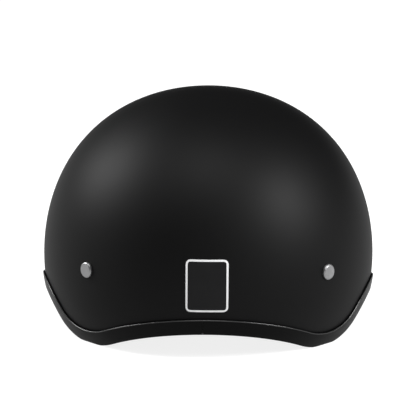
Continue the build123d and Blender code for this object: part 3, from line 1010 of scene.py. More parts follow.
@dataclass
class Finishes:
    """All finishes of the helmet, made once. Each row gives a name, two colours and what differs."""

    paint: Material = made(MattePaint)
    rubber: Material = made(GlossRubber)
    # The trim's bead is a lighter, glossier copy of the rubber: its colour is a painted highlight along the
    # top edge.
    rubbed: Material = made(
        GlossRubber, "rubbed_rubber_bead", (0.004, 0.004, 0.004), (0.008, 0.008, 0.008),
        specular=0.75, smooth=0.3)
    rivet: Material = made(
        SatinMetal, "satin_plated_rivet", (0.3, 0.3, 0.305), (0.4, 0.4, 0.405), roughness=0.46)
    washer: Material = made(
        SatinMetal, "zinc_washer", (0.36, 0.36, 0.37), (0.5, 0.5, 0.51), roughness=0.38)
    wire: Material = made(
        SatinMetal, "bright_ring_wire", (0.62, 0.62, 0.63), (0.74, 0.74, 0.75), roughness=0.16, grain=0.15)
    snap: Material = made(
        SatinMetal, "nickel_snap", (0.4, 0.39, 0.37), (0.52, 0.51, 0.48), roughness=0.28, grain=0.25)
    webbing: Material = made(WovenWebbing)
    thread: Material = made(
        BrushedKnit, "sewing_thread", (0.02, 0.02, 0.021), (0.045, 0.045, 0.047), cell=5200.0)
    knit: Material = made(
        BrushedKnit, "brushed_knit_cover", (0.018, 0.018, 0.019), (0.042, 0.042, 0.045))
    piping: Material = made(
        BrushedKnit, "bound_edge", (0.006, 0.006, 0.0065), (0.014, 0.014, 0.015), cell=2600.0)
    hook: Material = made(
        BrushedKnit, "hook_tape", (0.006, 0.006, 0.006), (0.016, 0.016, 0.016), cell=1500.0)
    foam: Material = made(BeadFoam)
    yoke: Material = made(
        MouldedPlastic, "moulded_nylon", (0.008, 0.008, 0.0085), (0.016, 0.016, 0.017),
        roughness=0.46, grain=0.5)
    cap: Material = made(
        MouldedPlastic, "polished_cap", (0.006, 0.006, 0.006), (0.011, 0.011, 0.011),
        roughness=0.2, grain=0.08)
    sticker: Material = made(
        MouldedPlastic, "sticker_field", (0.006, 0.006, 0.0063), (0.009, 0.009, 0.0094),
        roughness=0.5, grain=0.12, specular=0.12)
    border: Material = made(
        MouldedPlastic, "sticker_border", (0.61, 0.61, 0.615), (0.67, 0.67, 0.675),
        roughness=0.5, grain=0.12, specular=0.2)


# Frames that pieces are set in


@dataclass(frozen=True)
class Seat:
    """A small flat frame on the shell: a point, two directions in the surface and one out of it."""

    origin: np.ndarray
    across: np.ndarray
    upward: np.ndarray
    outward: np.ndarray

    @staticmethod
    def on(dome: Dome, bearing: float, level: float, depth: float = 0.0) -> "Seat":
        """Seat on the dome at a bearing and a level, with its second direction upwards."""
        p, q = dome.place(np.array(bearing), np.array(level))
        outward = dome.normal(p, q)
        across = unit(np.cross(UP, outward))
        return Seat(dome.point(p, q, depth), across, np.cross(outward, across), outward)


@dataclass(frozen=True)
class StrapFrame:
    """Frame of one folded-in strap: x runs back along the hinge line, y inwards, z up out of the webbing."""

    side: Side
    origin: Triple = (0.08921083, -0.038, 0.00926207)
    along: Triple = (0.00348, 0.99976, 0.02153)
    inward: Triple = (-0.99557, 0.00549, -0.09384)
    rise: Triple = (-0.09394, -0.02111, 0.99535)
    span: float = 86.02 * MM
    yoke: Pair = (30.0 * MM, 60.0 * MM)

    def at(self, x: np.ndarray | float, y: np.ndarray | float, z: np.ndarray | float = 0.0) -> np.ndarray:
        """Points at frame coordinates, on this frame's side."""
        x, y, z = np.broadcast_arrays(np.asarray(x, float), np.asarray(y, float), np.asarray(z, float))
        ways = np.array([self.along, self.inward, self.rise])
        return mirrored(np.array(self.origin) + np.stack([x, y, z], -1) @ ways, self.side)

    def way(self, x: float, y: float, z: float = 0.0) -> np.ndarray:
        """Direction with these frame components, on this frame's side."""
        return self.at(x, y, z) - self.at(0, 0, 0)

    def strap(self, forward: np.ndarray | float, height: np.ndarray | float) -> np.ndarray:
        """Points of the single strap's side view: forwards from the yoke's middle, and up."""
        return self.at(self.yoke[0] - np.asarray(forward, float), self.yoke[1], height)


@dataclass(frozen=True)
class Band:
    """Flat webbing: a rounded section carried along a path.

    Attributes:
        width: width of the band.
        thickness: thickness of the band.
        spans: points along each flat of the section.
        rounding: share of the half width over which each edge is rounded.
    """

    width: float = 20.0 * MM
    thickness: float = 1.6 * MM
    spans: int = 9
    rounding: float = 0.03

    def section(self) -> np.ndarray:
        """Closed section as pairs: a share of the half width, and a height in metres.

        The edges are rounded over the last share r of the half width: with the angle a going from the
        upper face to the lower, an edge point is (1 - r + r sin a, h cos a).
        """
        half = self.thickness / 2
        flat = pairs(np.linspace(-1, 1, self.spans) * (1 - self.rounding), half)
        a = np.linspace(0, math.pi, 7)[1:-1]
        edge = pairs(1 - self.rounding * (1 - np.sin(a)), half * np.cos(a))
        return np.vstack([flat, edge, -flat, -edge])

    def rows(self, path: np.ndarray, half_side: np.ndarray) -> np.ndarray:
        """Points of the band: each section point is P + a H + b N.

        H is the given half width vector and N is square to it and to the path.

        Args:
            path: middle line, one point a row.
            half_side: half width vector at each point.

        Returns:
            An array of path points by section points by three.
        """
        along = unit(np.gradient(path, axis=0))
        normal = unit(np.cross(along, half_side))
        section = self.section()
        a, b = section[:, 0][None, :, None], section[:, 1][None, :, None]
        return path[:, None] + a * half_side[:, None] + b * normal[:, None]

    def wrapped(self, rows: np.ndarray, path: np.ndarray) -> Skin:
        """Skin over rows of section points, charted by the distances across and along the band."""
        chart = pairs(self.section()[:, 0][None, :] * self.width / 2, run_along(path)[:, None])
        return Skin.over(rows, chart=chart)


# Sub-assemblies


@dataclass
class Shell:
    """Painted shell with its rivets and the bare sticker at its back."""

    dome: Dome
    rim: Rim
    wall: float = 4.0 * MM
    columns: int = 360
    outer_rows: int = 96
    inner_rows: int = 48
    head_radius: float = 4.85 * MM
    head_height: float = 1.7 * MM
    head_bevel: float = 0.7 * MM
    shank_radius: float = 2.5 * MM
    shank_length: float = 8.95 * MM
    tail_radius: float = 4.0 * MM
    tail_height: float = 1.5 * MM
    front_rivet: Pair = (107.0, 4.0)
    rear_rivet: Pair = (42.0, -5.0)
    label_size: Pair = (26.0 * MM, 32.5 * MM)
    label_corner: float = 2.6 * MM
    label_border: float = 1.2 * MM
    label_height: float = 0.4 * MM
    label_edge: float = 0.12 * MM
    label_points: int = 128
    label_level: float = -9.3
    top_level: float = 89.9

    def shell_skin(self) -> Skin:
        """Skin of the shell: outside from crown to edge, round the edge, and inside back to the crown.

        A point is the dome's point at its bearing and level; the level runs evenly from the edge to just
        short of the crown, and the depth goes from 0 to the wall over the edge.
        """
        bearing = np.linspace(0, 360, self.columns, endpoint=False)
        edge = self.rim.level(bearing)
        upward, downward = np.linspace(0, 1, self.inner_rows), np.linspace(1, 0, self.outer_rows)
        outside, inside = (edge + (self.top_level - edge) * share[:, None] for share in (downward, upward))
        level = np.vstack([outside, inside])
        depth = np.vstack([np.zeros_like(outside), np.full_like(inside, self.wall)])
        p, q = self.dome.place(np.broadcast_to(bearing, level.shape), level)
        return Skin.over(self.dome.point(p, q, depth))

    def rivet_skin(self, bearing: float, level: float) -> Skin:
        """Skin of one rivet, turned about the shell's normal at its place.

        The corners of its profile are softened, apart from the two beside the axis. At radius r the face
        is sunk by d exp(-(2 r / R)^2), where R is the radius of the head.
        """
        seat = Seat.on(self.dome, bearing, level)
        bevel, radius, high = self.head_bevel, self.head_radius, self.head_height
        tail = self.shank_length + self.tail_height
        inset, sunk, soft, steps, dimple = 0.4 * MM, 0.3 * MM, 0.16 * MM, 4, 0.12 * MM
        corners = np.array([
            [inset, high], [radius - bevel, high], [radius, high - bevel], [radius, -sunk],
            [self.shank_radius, -sunk], [self.shank_radius, -self.shank_length],
            [self.tail_radius, -self.shank_length], [self.tail_radius, -tail], [inset, -tail],
        ])
        inner = rounded_outline(corners, np.full(len(corners), soft), steps)[steps + 1:-steps - 1]
        r = np.linspace(PIN, radius - bevel - soft, 14)
        face = pairs(r, high - dimple * np.exp(-((2 * r / radius) ** 2)))
        profile = np.vstack([face, inner, [PIN, -tail]])
        return turned(profile, seat.origin, seat.across, seat.outward)

    def label_skin(self) -> Skin:
        """Skin of the sticker: rings of one rounded rectangle, laid on the dome along the plane's normal.

        Each ring is the outline drawn in by its own inset. The first ones end where the border ends, so
        that the border is a band of faces of its own.
        """
        seat = Seat.on(self.dome, 0.0, self.label_level)
        half_x, half_y = self.label_size[0] / 2, self.label_size[1] / 2
        border = [0.0, self.label_edge, 0.5 * MM, self.label_border]
        margin, clearance = 0.2 * MM, 0.03 * MM
        insets = np.concatenate([border, np.linspace(self.label_border + margin, half_x - margin, 18)])
        rings = []
        for inset in insets:
            corner = 1.3 * max(self.label_corner - inset, 0.15 * MM)
            corner = corner if corner < half_x - inset else 0.9 * (half_x - inset)
            curve = rounded_outline(rectangle(half_x - inset, half_y - inset), np.full(4, corner), 8)
            rings.append(evenly_round(curve, self.label_points))
        x, y = np.moveaxis(np.stack(rings), -1, 0)
        p, q = self.dome.under(seat.origin, x, y, seat.across, seat.upward, 0.0, (0.0, self.label_level))
        heights = np.where(insets >= self.label_edge, self.label_height, 0.8 * self.label_height)
        top = self.dome.point(p, q, -heights[:, None])
        foot = self.dome.point(p[:1], q[:1], -clearance)
        under = self.dome.point(p[-1:], q[-1:], -clearance)
        skin = Skin.over(np.vstack([under, foot, top]))
        bordered = [int(1 <= row <= len(border)) for row in range(len(insets) + 1)]
        skin.marks = np.repeat(bordered + [0, 0], self.label_points).tolist()
        return skin

    def build(self, finishes: Finishes) -> None:
        """Make the shell, its four rivets and the sticker."""
        shell = piece_from("painted_shell", self.shell_skin(), finishes.paint)
        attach(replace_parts(shell, "outer_shell"), "helmet")
        LOG.info("painted shell: %d faces", len(shell.data.polygons))
        for name, (bearing, level) in (("front", self.front_rivet), ("rear", self.rear_rivet)):
            for side in Side:
                skin = self.rivet_skin(bearing if side is Side.LEFT else 360 - bearing, level)
                rivet = piece_from(f"{side.word}_{name}_rivet_head", skin, finishes.rivet, crease=50)
                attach(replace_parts(rivet, f"{side.word}_{name}_rivet"), "helmet")
                LOG.info("%s", rivet.name)
        label = piece_from("bare_sticker", self.label_skin(), finishes.sticker, finishes.border)
        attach(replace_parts(label, "rear_label"), "helmet")
        LOG.info("bare sticker")


@dataclass
class EdgeTrim:
    """Rubber channel pressed over the edge of the shell, with its ends meeting at a seam behind.

    Attributes:
        rim: edge that it is pressed over.
        lip: distance of the outer face from the shell.
        web: thickness under the edge.
        outer_height: height of the outer wall over the edge.
        inner_height: height of the inner wall over the edge.
        fit: clearance between the shell and the channel.
        groove: width of the channel.
        inner_lip: thickness of the inner wall.
        seam_bearing: bearing of the seam, in degrees.
        seam_turn: half of the gap at the seam, in degrees.
        sections: sections from one end to the other.
        bead: first and last span of the section that the bead takes, whose lighter colour is a painted
            highlight along the top edge.
        belly: how far the outer face stands out at its fullest, and the upper lip's gap to the shell.
        belly_height: height of the fullest place.
        corner_radii: radius of each corner of the section, in millimetres.
    """

    rim: Rim
    lip: float = 1.0 * MM
    web: float = 3.0 * MM
    outer_height: float = 7.6 * MM
    inner_height: float = 6.0 * MM
    fit: float = 0.2 * MM
    groove: float = 4.55 * MM
    inner_lip: float = 1.2 * MM
    seam_bearing: float = 1.2816
    seam_turn: float = 0.03
    sections: int = 720
    bead: tuple[int, int] = (14, 27)
    belly: float = 0.12 * MM
    belly_height: float = 1.5 * MM
    corner_radii: tuple[float, ...] = (0.8, 2.4, 0.46, 0.42, 0.3, 0.3, 0.35, 0.5, 1.4)

    def profile(self) -> np.ndarray:
        """Section of the channel, as pairs of outward and upward distance, with rounded corners."""
        back = -self.groove - self.inner_lip
        corners = np.array([
            [self.lip, -self.web], [self.lip + self.belly, self.belly_height], [self.lip, self.outer_height],
            [self.belly, self.outer_height], [self.fit, -self.fit], [-self.groove, -self.fit],
            [-self.groove, self.inner_height], [back, self.inner_height], [back, -self.web],
        ])
        return rounded_outline(corners, np.array(self.corner_radii) * MM, 6)

    def skin(self) -> Skin:
        """Skin of the channel: each section point is E + a O + b U at its bearing.

        E is the edge of the shell, O the outward and U the upward direction there. No point is below the
        table. The faces of the bead, a run of the section's spans along the top of the outer lip, are marked
        for a finish of their own, whose lighter colour paints a highlight along the edge.
        """
        start, end = self.seam_bearing + self.seam_turn, 360 + self.seam_bearing - self.seam_turn
        bearing = np.linspace(start, end, self.sections)
        edge, outward, upward = self.rim.frames(bearing)
        profile = self.profile()
        a, b = profile[:, 0][None, :, None], profile[:, 1][None, :, None]
        points = edge[:, None] + a * outward[:, None] + b * upward[:, None]
        points[..., 2] = np.maximum(points[..., 2], 0.0)
        skin = Skin.over(points)
        bead = np.zeros(len(profile), int)
        bead[self.bead[0]:self.bead[1]] = 1
        skin.marks = [*np.tile(bead, self.sections - 1).tolist(), *([0] * (2 * len(profile)))]
        return skin

    def build(self, finishes: Finishes) -> None:
        """Make the trim."""
        # The second finish, on the bead, carries a painted highlight along the trim's top edge.
        trim = piece_from("rubber_edge_trim", self.skin(), finishes.rubber, finishes.rubbed, crease=60)
        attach(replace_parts(trim, "edge_trim"), "helmet")
        LOG.info("rubber edge trim: %d faces", len(trim.data.polygons))


@dataclass(frozen=True)
class PadShape:
    """Outline of one pad: a rounded rectangle in a plane, thrown onto the inside of the foam.

    Attributes:
        name: name of the CAD node.
        across: first direction of the plane.
        upward: second direction of the plane.
        middle: middle of the rectangle in the plane.
        size: width and height.
        place: bearing and level to start the search from.
    """

    name: str
    across: Triple
    upward: Triple
    middle: Pair
    size: Pair
    place: Pair


@dataclass
class Padding:
    """Comfort pads and the hook patches that hold them to the foam."""

    dome: Dome
    rim: Rim
    depth: float = 27.5 * MM
    thickness: float = 7.5 * MM
    corner: float = 10.0 * MM
    rise: float = 14.4 * MM
    rings: int = 34
    points: int = 240
    hook_radius: float = 11.0 * MM
    hook_depth: float = 26.4 * MM
    hook_thickness: float = 1.0 * MM
    edge_share: float = 0.3
    edge_radius: float = 1.05 * MM
    sewn_share: float = 0.87
    stitch_pitch: float = 3.4 * MM
    shapes: tuple[PadShape, ...] = (
        PadShape("crown_pad", (1, 0, 0), (0, 1, 0), (0, 0), (96 * MM, 120 * MM), (0, 88)),
        PadShape("brow_pad", (1, 0, 0), (0, 0, 1), (0, 41.4 * MM), (116 * MM, 48 * MM), (180, 0)),
        PadShape("left_temple_pad", (0, 1, 0), (0, 0, 1), (8 * MM, 43.4 * MM), (84 * MM, 62 * MM), (88, 0)),
        PadShape("right_temple_pad", (0, 1, 0), (0, 0, 1), (8 * MM, 43.4 * MM), (84 * MM, 62 * MM), (272, 0)),
        PadShape("nape_pad", (-1, 0, 0), (0, 0, 1), (0, 51.4 * MM), (104 * MM, 62 * MM), (0, 5)),
    )
    hook_places: tuple[Pair, ...] = (
        (0, 80), (60, 62), (300, 62), (180, 62), (155, 5), (205, 5), (90, 6), (270, 6), (20, 6), (340, 6),
    )

    def outline(self, shape: PadShape) -> np.ndarray:
        """Closed outline of a pad in map coordinates, held above the line that stands over the rim."""
        margin, smoothings = 0.4 * MM, 10
        square = np.array(shape.middle) + rectangle(shape.size[0] / 2 - margin, shape.size[1] / 2 - margin)
        even = evenly_round(rounded_outline(square, np.full(4, self.corner * 1.25), 10), self.points)
        p, q = self.dome.under(np.zeros(3), even[:, 0], even[:, 1], np.array(shape.across, float),
                               np.array(shape.upward, float), self.depth, shape.place)
        bearing = np.degrees(np.arctan2(p, q))
        level = 90 - 2 * np.degrees(np.arctan(np.hypot(p, q)))
        floor = self.rim.raised(bearing, self.rise)
        p, q = self.dome.place(bearing, np.maximum(level, floor))
        outline = np.stack([p, q], -1)
        for _ in range(smoothings):
            outline = (np.roll(outline, 1, axis=0) + 2 * outline + np.roll(outline, -1, axis=0)) / 4
        return outline

    def pad_skin(self, shape: PadShape) -> tuple[Skin, np.ndarray, np.ndarray]:
        """Skin of one pad, with the line of its bound edge and the normals there.

        Ring r of the outline is its middle plus r times the way to the outline. As shares of the pad's
        thickness, the face swells by 0.7 (1 - r^3.2)^0.55 from an edge of 0.3, dips by 0.13 at the sewn
        line, puckers by 0.035 just inside it and is otherwise uneven by up to 0.1. The back lies flat.
        """
        outline = self.outline(shape)
        middle = outline.mean(0)
        r = np.sin(np.linspace(0.004, 1, self.rings) * math.pi / 2)[:, None]
        p, q = (middle[k] + r * (outline[:, k] - middle[k]) for k in (0, 1))
        turn = round_turn(self.points)[None, :]
        swell = self.edge_share + (1 - self.edge_share) * np.maximum(1 - r**3.2, 0) ** 0.55
        sewn = 0.13 * np.exp(-(((r - self.sewn_share) / 0.022) ** 2))
        pucker = 0.035 * np.sin(turn * 46) * np.exp(-(((r - 0.84) / 0.06) ** 2))
        soft = 0.05 * (np.sin(p * 13 + 1.0) * np.cos(q * 11 - 0.6) - 1) * (1 - r**4)
        top = self.thickness * np.clip(swell - sewn + pucker + soft, 0.1, 1.0)
        face = self.dome.point(p, q, self.depth + top)
        back = self.dome.point(p[::-1], q[::-1], self.depth)
        border = self.dome.point(p[-1], q[-1], self.depth + 0.5 * self.edge_share * self.thickness)
        return Skin.over(np.vstack([face, back])), border, self.dome.normal(p[-1], q[-1])

    def sewn_line(self, shape: PadShape) -> Skin:
        """Stitches along the sewn line of one pad, at the height of the dip in its face."""
        outline = self.outline(shape)
        middle = outline.mean(0)
        line = middle + self.sewn_share * (outline - middle)
        sewn_height = 0.62 * self.thickness
        closed = self.dome.point(line[:, 0], line[:, 1], self.depth + sewn_height)
        count = int(run_along(closed)[-1] / self.stitch_pitch)
        pick = (np.arange(count) * len(closed) / count).astype(int)
        up = -self.dome.normal(line[pick, 0], line[pick, 1])
        return stitch_line(closed[pick], way_round(closed)[pick], up, 2.4 * MM, 0.24 * MM)

    def hook_skin(self) -> Skin:
        """Skin of the hook patches: thin discs that follow the inside of the foam."""
        turn = round_turn(40)
        r = np.array([0.02, 0.5, 0.97, 1.0])[:, None] * self.hook_radius
        discs = []
        for place in self.hook_places:
            seat = Seat.on(self.dome, *place, self.hook_depth)
            p, q = self.dome.under(seat.origin, r * np.cos(turn), r * np.sin(turn), seat.across, seat.upward,
                                   self.hook_depth, place)
            near = self.dome.point(p, q, self.hook_depth + self.hook_thickness)
            far = self.dome.point(p[::-1], q[::-1], self.hook_depth)
            discs.append(Skin.over(np.vstack([near, far])))
        return Skin.together(discs)

    def build(self, finishes: Finishes) -> None:
        """Make the pads with their bound edges and sewn lines, and the hook patches."""
        for shape in self.shapes:
            skin, border, normals = self.pad_skin(shape)
            pad = piece_from(f"{shape.name}_cover", skin, finishes.knit, crease=70)
            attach(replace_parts(pad, shape.name), "helmet")
            wire = tube(border, self.edge_radius, normals)
            edge = piece_from(f"{shape.name}_bound_edge", wire, finishes.piping)
            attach(edge, "helmet")
            sewn = piece_from(f"{shape.name}_sewn_line", self.sewn_line(shape), finishes.thread)
            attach(sewn, "helmet")
            LOG.info("%s with its bound edge and sewn line", shape.name)
        hooks = piece_from("hook_tape_patches", self.hook_skin(), finishes.hook)
        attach(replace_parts(hooks, "hook_patches"), "helmet")
        LOG.info("hook tape patches")


@dataclass
class Retention:
    """Webbing of one side: its two legs, and what the two kinds of single strap share.

    Attributes:
        dome: dome that the legs lie under.
        shell: shell whose rivets hold them.
        side: side of the wearer.
        band: the webbing itself.
        depth: depth of its middle line under the outside of the shell.
        above_rivet: how far a leg goes on above its rivet.
        stop: distance from the yoke's middle to where webbing ends inside it.
        bend: distance from the exit to where the fold starts, on both sides of it.
        easing: distance past the exit over which the edges return to a flat band.
        turning: heights over the exit between which the webbing turns with the strap.
        leg_rows: rows of points down the shell, in the fold and in to the yoke.
        square_share: share of the rows down the shell that lie square to the way down.
        side_level: level from which the search for a side view's point starts.
        row_spacing: distance between the rows of the single strap.
        thread_radius: radius of the sewing thread.
        thread_lift: height of a thread's middle over the face.
    """

    dome: Dome
    shell: Shell
    side: Side
    band: Band = Band()
    depth: float = 6.7 * MM
    above_rivet: float = 11.0 * MM
    stop: float = 12.0 * MM
    bend: float = 2.2 * MM
    easing: float = 22.0 * MM
    turning: Pair = (5.0 * MM, 1.3 * MM)
    leg_rows: tuple[int, int, int] = (26, 7, 44)
    square_share: float = 0.55
    side_level: float = -15.0
    row_spacing: float = 0.55 * MM
    thread_radius: float = 0.26 * MM
    thread_lift: float = 0.02 * MM

    def frame(self) -> StrapFrame:
        """Frame of this side's strap."""
        return StrapFrame(self.side)

    def leg_skin(self, rivet: Pair, start: float) -> tuple[Skin, np.ndarray, np.ndarray]:
        """Skin of one leg: down the shell from above its rivet, round the fold and in to the yoke.

        On the shell the middle line is straight on the dome's map. At the fold it is a parabola about the
        exit, and from there it is straight. The half width vector lies along the hinge line at the fold
        and turns evenly to square at both ends.

        Args:
            rivet: bearing and level of the rivet.
            start: place of the exit along the hinge line.

        Returns:
            The skin, and the two points between which the fold turns.
        """
        left = StrapFrame(Side.LEFT)
        hinge, leave = left.way(1, 0), left.at(start, 0)
        down_rows, fold_rows, inward_rows = self.leg_rows
        guess = (rivet[0], self.side_level)
        p0, q0 = self.dome.place(*rivet)
        p1, q1 = self.dome.under(np.zeros(3), leave[1], leave[2], ALONG, UP, self.depth, guess)
        straight = np.linalg.norm(self.dome.point(p0, q0, self.depth) - leave)
        t = np.linspace(-self.above_rivet / straight, 1 - self.bend / straight, down_rows)
        down = self.dome.point(p0 + t * (p1 - p0), q0 + t * (q1 - q0), self.depth)
        to_yoke = np.array(left.yoke) - np.array([start, 0.0])
        way = unit(to_yoke)
        s = np.linspace(self.bend, np.linalg.norm(to_yoke) - self.stop, inward_rows)
        inward = left.at(start + s * way[0], s * way[1])
        f = np.linspace(0, 1, fold_rows + 2)[1:-1, None]
        path = np.vstack([down, parabola(down[-1], leave, inward[0], f), inward])
        half = self.band.width / 2
        square = unit(np.cross(self.dome.normal(p0, q0), down[-1] - down[0])) * half
        square *= math.copysign(1, float(square @ hinge))
        slant = hinge * half / abs(float(unit(square) @ hinge))
        row_share = np.arange(down_rows)[:, None] / down_rows
        turn = np.clip((row_share - self.square_share) / (1 - self.square_share), 0, 1)
        upper = square + (slant - square) * turn
        leg_slant = hinge * half / way[1]
        leg_square = left.way(way[1], -way[0]) * half
        lower = leg_slant + (leg_square - leg_slant) * np.linspace(0, 1, inward_rows)[:, None]
        middle = slant + (leg_slant - slant) * f
        sides = np.vstack([upper, middle, lower])
        rows = self.settled(self.band.rows(path, sides), path, sides, down_rows, guess)
        skin = self.band.wrapped(mirrored(rows, self.side), mirrored(path, self.side))
        first, last = (leave + left.way(0, 0, 1) * height for height in self.turning)
        return skin, mirrored(first, self.side), mirrored(last, self.side)

    def settled(self, rows: np.ndarray, path: np.ndarray, sides: np.ndarray, count: int,
                guess: Pair) -> np.ndarray:
        """Rows of a leg with its edges drawn in, to follow the curve of the shell as its middle does.

        The first rows lie on the shell: each point moves in x by what its place in the middle sheet lacks
        to the dome at the webbing's depth. Past the exit, the last row's move fades as (1 - s / e)^2.

        Args:
            rows: points of the leg on the wearer's left.
            path: its middle line.
            sides: its half width vectors.
            count: rows that lie on the shell.
            guess: bearing and level to start the search from.

        Returns:
            The moved points.
        """
        share = self.band.section()[:, 0][None, :, None]
        sheet = path[:count, None] + share * sides[:count, None]
        p, q = self.dome.under(np.zeros(3), sheet[..., 1], sheet[..., 2], ALONG, UP, self.depth, guess)
        move = self.dome.point(p, q, self.depth)[..., 0] - sheet[..., 0]
        run = run_along(path)[count:] - run_along(path)[count - 1]
        fade = np.clip(1 - run / self.easing, 0, 1) ** 2
        moved = rows.copy()
        moved[:count, :, 0] += move
        moved[count:, :, 0] += fade[:, None] * move[-1]
        return moved

    def build_legs(self, finishes: Finishes) -> None:
        """Make the front and rear legs, each with the webbing that is fixed behind its rivet."""
        front, rear = self.shell.front_rivet, self.shell.rear_rivet
        for name, rivet, start in (("front", front, 0.0), ("rear", rear, self.frame().span)):
            skin, first, last = self.leg_skin(rivet, start)
            place = f"{self.side.word}_{name}"
            leg = piece_from(f"{place}_webbing", skin, finishes.webbing, crease=60)
            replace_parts(leg, f"{place}_anchor", f"{place}_leg")
            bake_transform(leg)
            LOG.info("%s", leg.name)

    def band_along(self, side_view: np.ndarray) -> Skin:
        """Skin of a band whose middle line is given in the single strap's side view."""
        frame = self.frame()
        path = frame.strap(side_view[:, 0], side_view[:, 1])
        half = np.broadcast_to(frame.way(0, 1) * self.band.width / 2, path.shape)
        return self.band.wrapped(self.band.rows(path, half), path)

    def stitched(self, runs: list[list[Pair]], height: float, pitch: float) -> Skin:
        """Stitches along straight runs on the single strap's face.

        Args:
            runs: for each run, its corners as forward and inward distance from the yoke's middle.
            height: height of the face.
            pitch: distance from stitch to stitch.

        Returns:
            One skin of all stitches.
        """
        frame = self.frame()
        skins = []
        for corners in runs:
            even = resampled(np.array(corners), pitch / 4)
            ahead = even[3::4]
            places, next_places = (frame.at(frame.yoke[0] - at[:, 0], frame.yoke[1] + at[:, 1], height)
                                   for at in (even[2::4][:len(ahead)], ahead))
            up = np.broadcast_to(frame.way(0, 0, 1), places.shape)
            along = unit(next_places - places)
            skins.append(stitch_line(places, along, up, pitch * 0.72, self.thread_radius))
        return Skin.together(skins)


@dataclass
class RingSide(Retention):
    """The wearer's left: a strap sewn back round the bars of two rings."""

    reach: float = 52.0 * MM
    hem: float = 24.0 * MM
    wire: float = 1.5 * MM
    inner_width: float = 22.0 * MM
    inner_depth: float = 17.0 * MM
    corner: float = 3.2 * MM
    low_bar: float = 2.5 * MM
    bar_gap: float = 3.2 * MM
    stitch_pitch: float = 2.6 * MM
    box_half: float = 7.2 * MM

    def strap_path(self) -> np.ndarray:
        """Side view of the strap: out to the bars, up round both of them and back as the hem."""
        radius, high, gap = self.low_bar, self.low_bar + self.bar_gap, 1.0 * MM
        bottom, top = np.linspace(-math.pi / 2, 0, 9), np.linspace(0, math.pi, 17)
        start = pairs(np.linspace(self.stop, self.reach - gap, 40), 0.0)
        first = pairs(self.reach + radius * np.cos(bottom), radius + radius * np.sin(bottom))
        second = pairs(self.reach + radius * np.cos(top), high + radius * np.sin(top))
        hem_height = self.band.thickness + 0.04 * MM
        last = np.array([self.reach - radius, high - 0.9 * MM])
        corner = np.array([last[0] - 0.05 * MM, hem_height])
        lying = np.array([last[0] - 3.2 * MM, hem_height])
        down = parabola(last, corner, lying, np.linspace(0, 1, 9)[1:, None])
        back = pairs(np.linspace(lying[0] - gap, self.reach - self.hem, 16), hem_height)
        return resampled(np.vstack([start, first, second, down, back]), self.row_spacing)

    def ring_path(self, height: float) -> np.ndarray:
        """Middle line of one ring: a straight bar, two tight corners, two short sides and a half circle."""
        half = self.inner_width / 2 + self.wire
        depth = self.inner_depth + 2 * self.wire
        small, large = np.linspace(0, math.pi / 2, 9), np.linspace(0, math.pi / 2, 25)
        bar = pairs(0.0, np.linspace(0, half - self.corner, 7)[:-1])
        corner = pairs(self.corner * (1 - np.cos(small)), half - self.corner * (1 - np.sin(small)))
        side = pairs(np.linspace(self.corner, depth - half, 5)[1:-1], half)
        bow = pairs(depth - half + half * np.sin(large), half * np.cos(large))
        run = np.vstack([bar, corner, side, bow])
        outline = np.vstack([run, run[::-1][1:-1] * np.array([1, -1])])
        frame = self.frame()
        return frame.at(frame.yoke[0] - self.reach - outline[:, 0], frame.yoke[1] + outline[:, 1], height)

    def build(self, finishes: Finishes) -> None:
        """Make the legs, the sewn strap, its stitching and the two rings."""
        self.build_legs(finishes)
        band = self.band_along(self.strap_path())
        strap = piece_from("ring_strap_webbing", band, finishes.webbing, crease=60)
        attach(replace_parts(strap, "ring_strap"), "left_strap")
        face = self.band.thickness * 1.5 + self.thread_lift
        near, far, half = self.reach - self.hem + 2.5 * MM, self.reach - 7 * MM, self.box_half
        box = [(near, -half), (far, -half), (far, half), (near, half), (near, -half)]
        runs = [box, [(near, -half), (far, half)], [(near, half), (far, -half)]]
        sewn = self.stitched(runs, face, self.stitch_pitch)
        thread = piece_from("ring_strap_stitching", sewn, finishes.thread)
        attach(thread, "left_strap")
        LOG.info("ring strap with its stitching")
        frame = self.frame()
        for name, height in (("lower_ring", self.low_bar), ("upper_ring", self.low_bar + self.bar_gap)):
            wire = tube(self.ring_path(height), self.wire, frame.way(0, 0, 1), 20)
            ring = piece_from(f"{name}_wire", wire, finishes.wire)
            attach(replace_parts(ring, name), f"{name}_body")
            LOG.info("%s", ring.name)


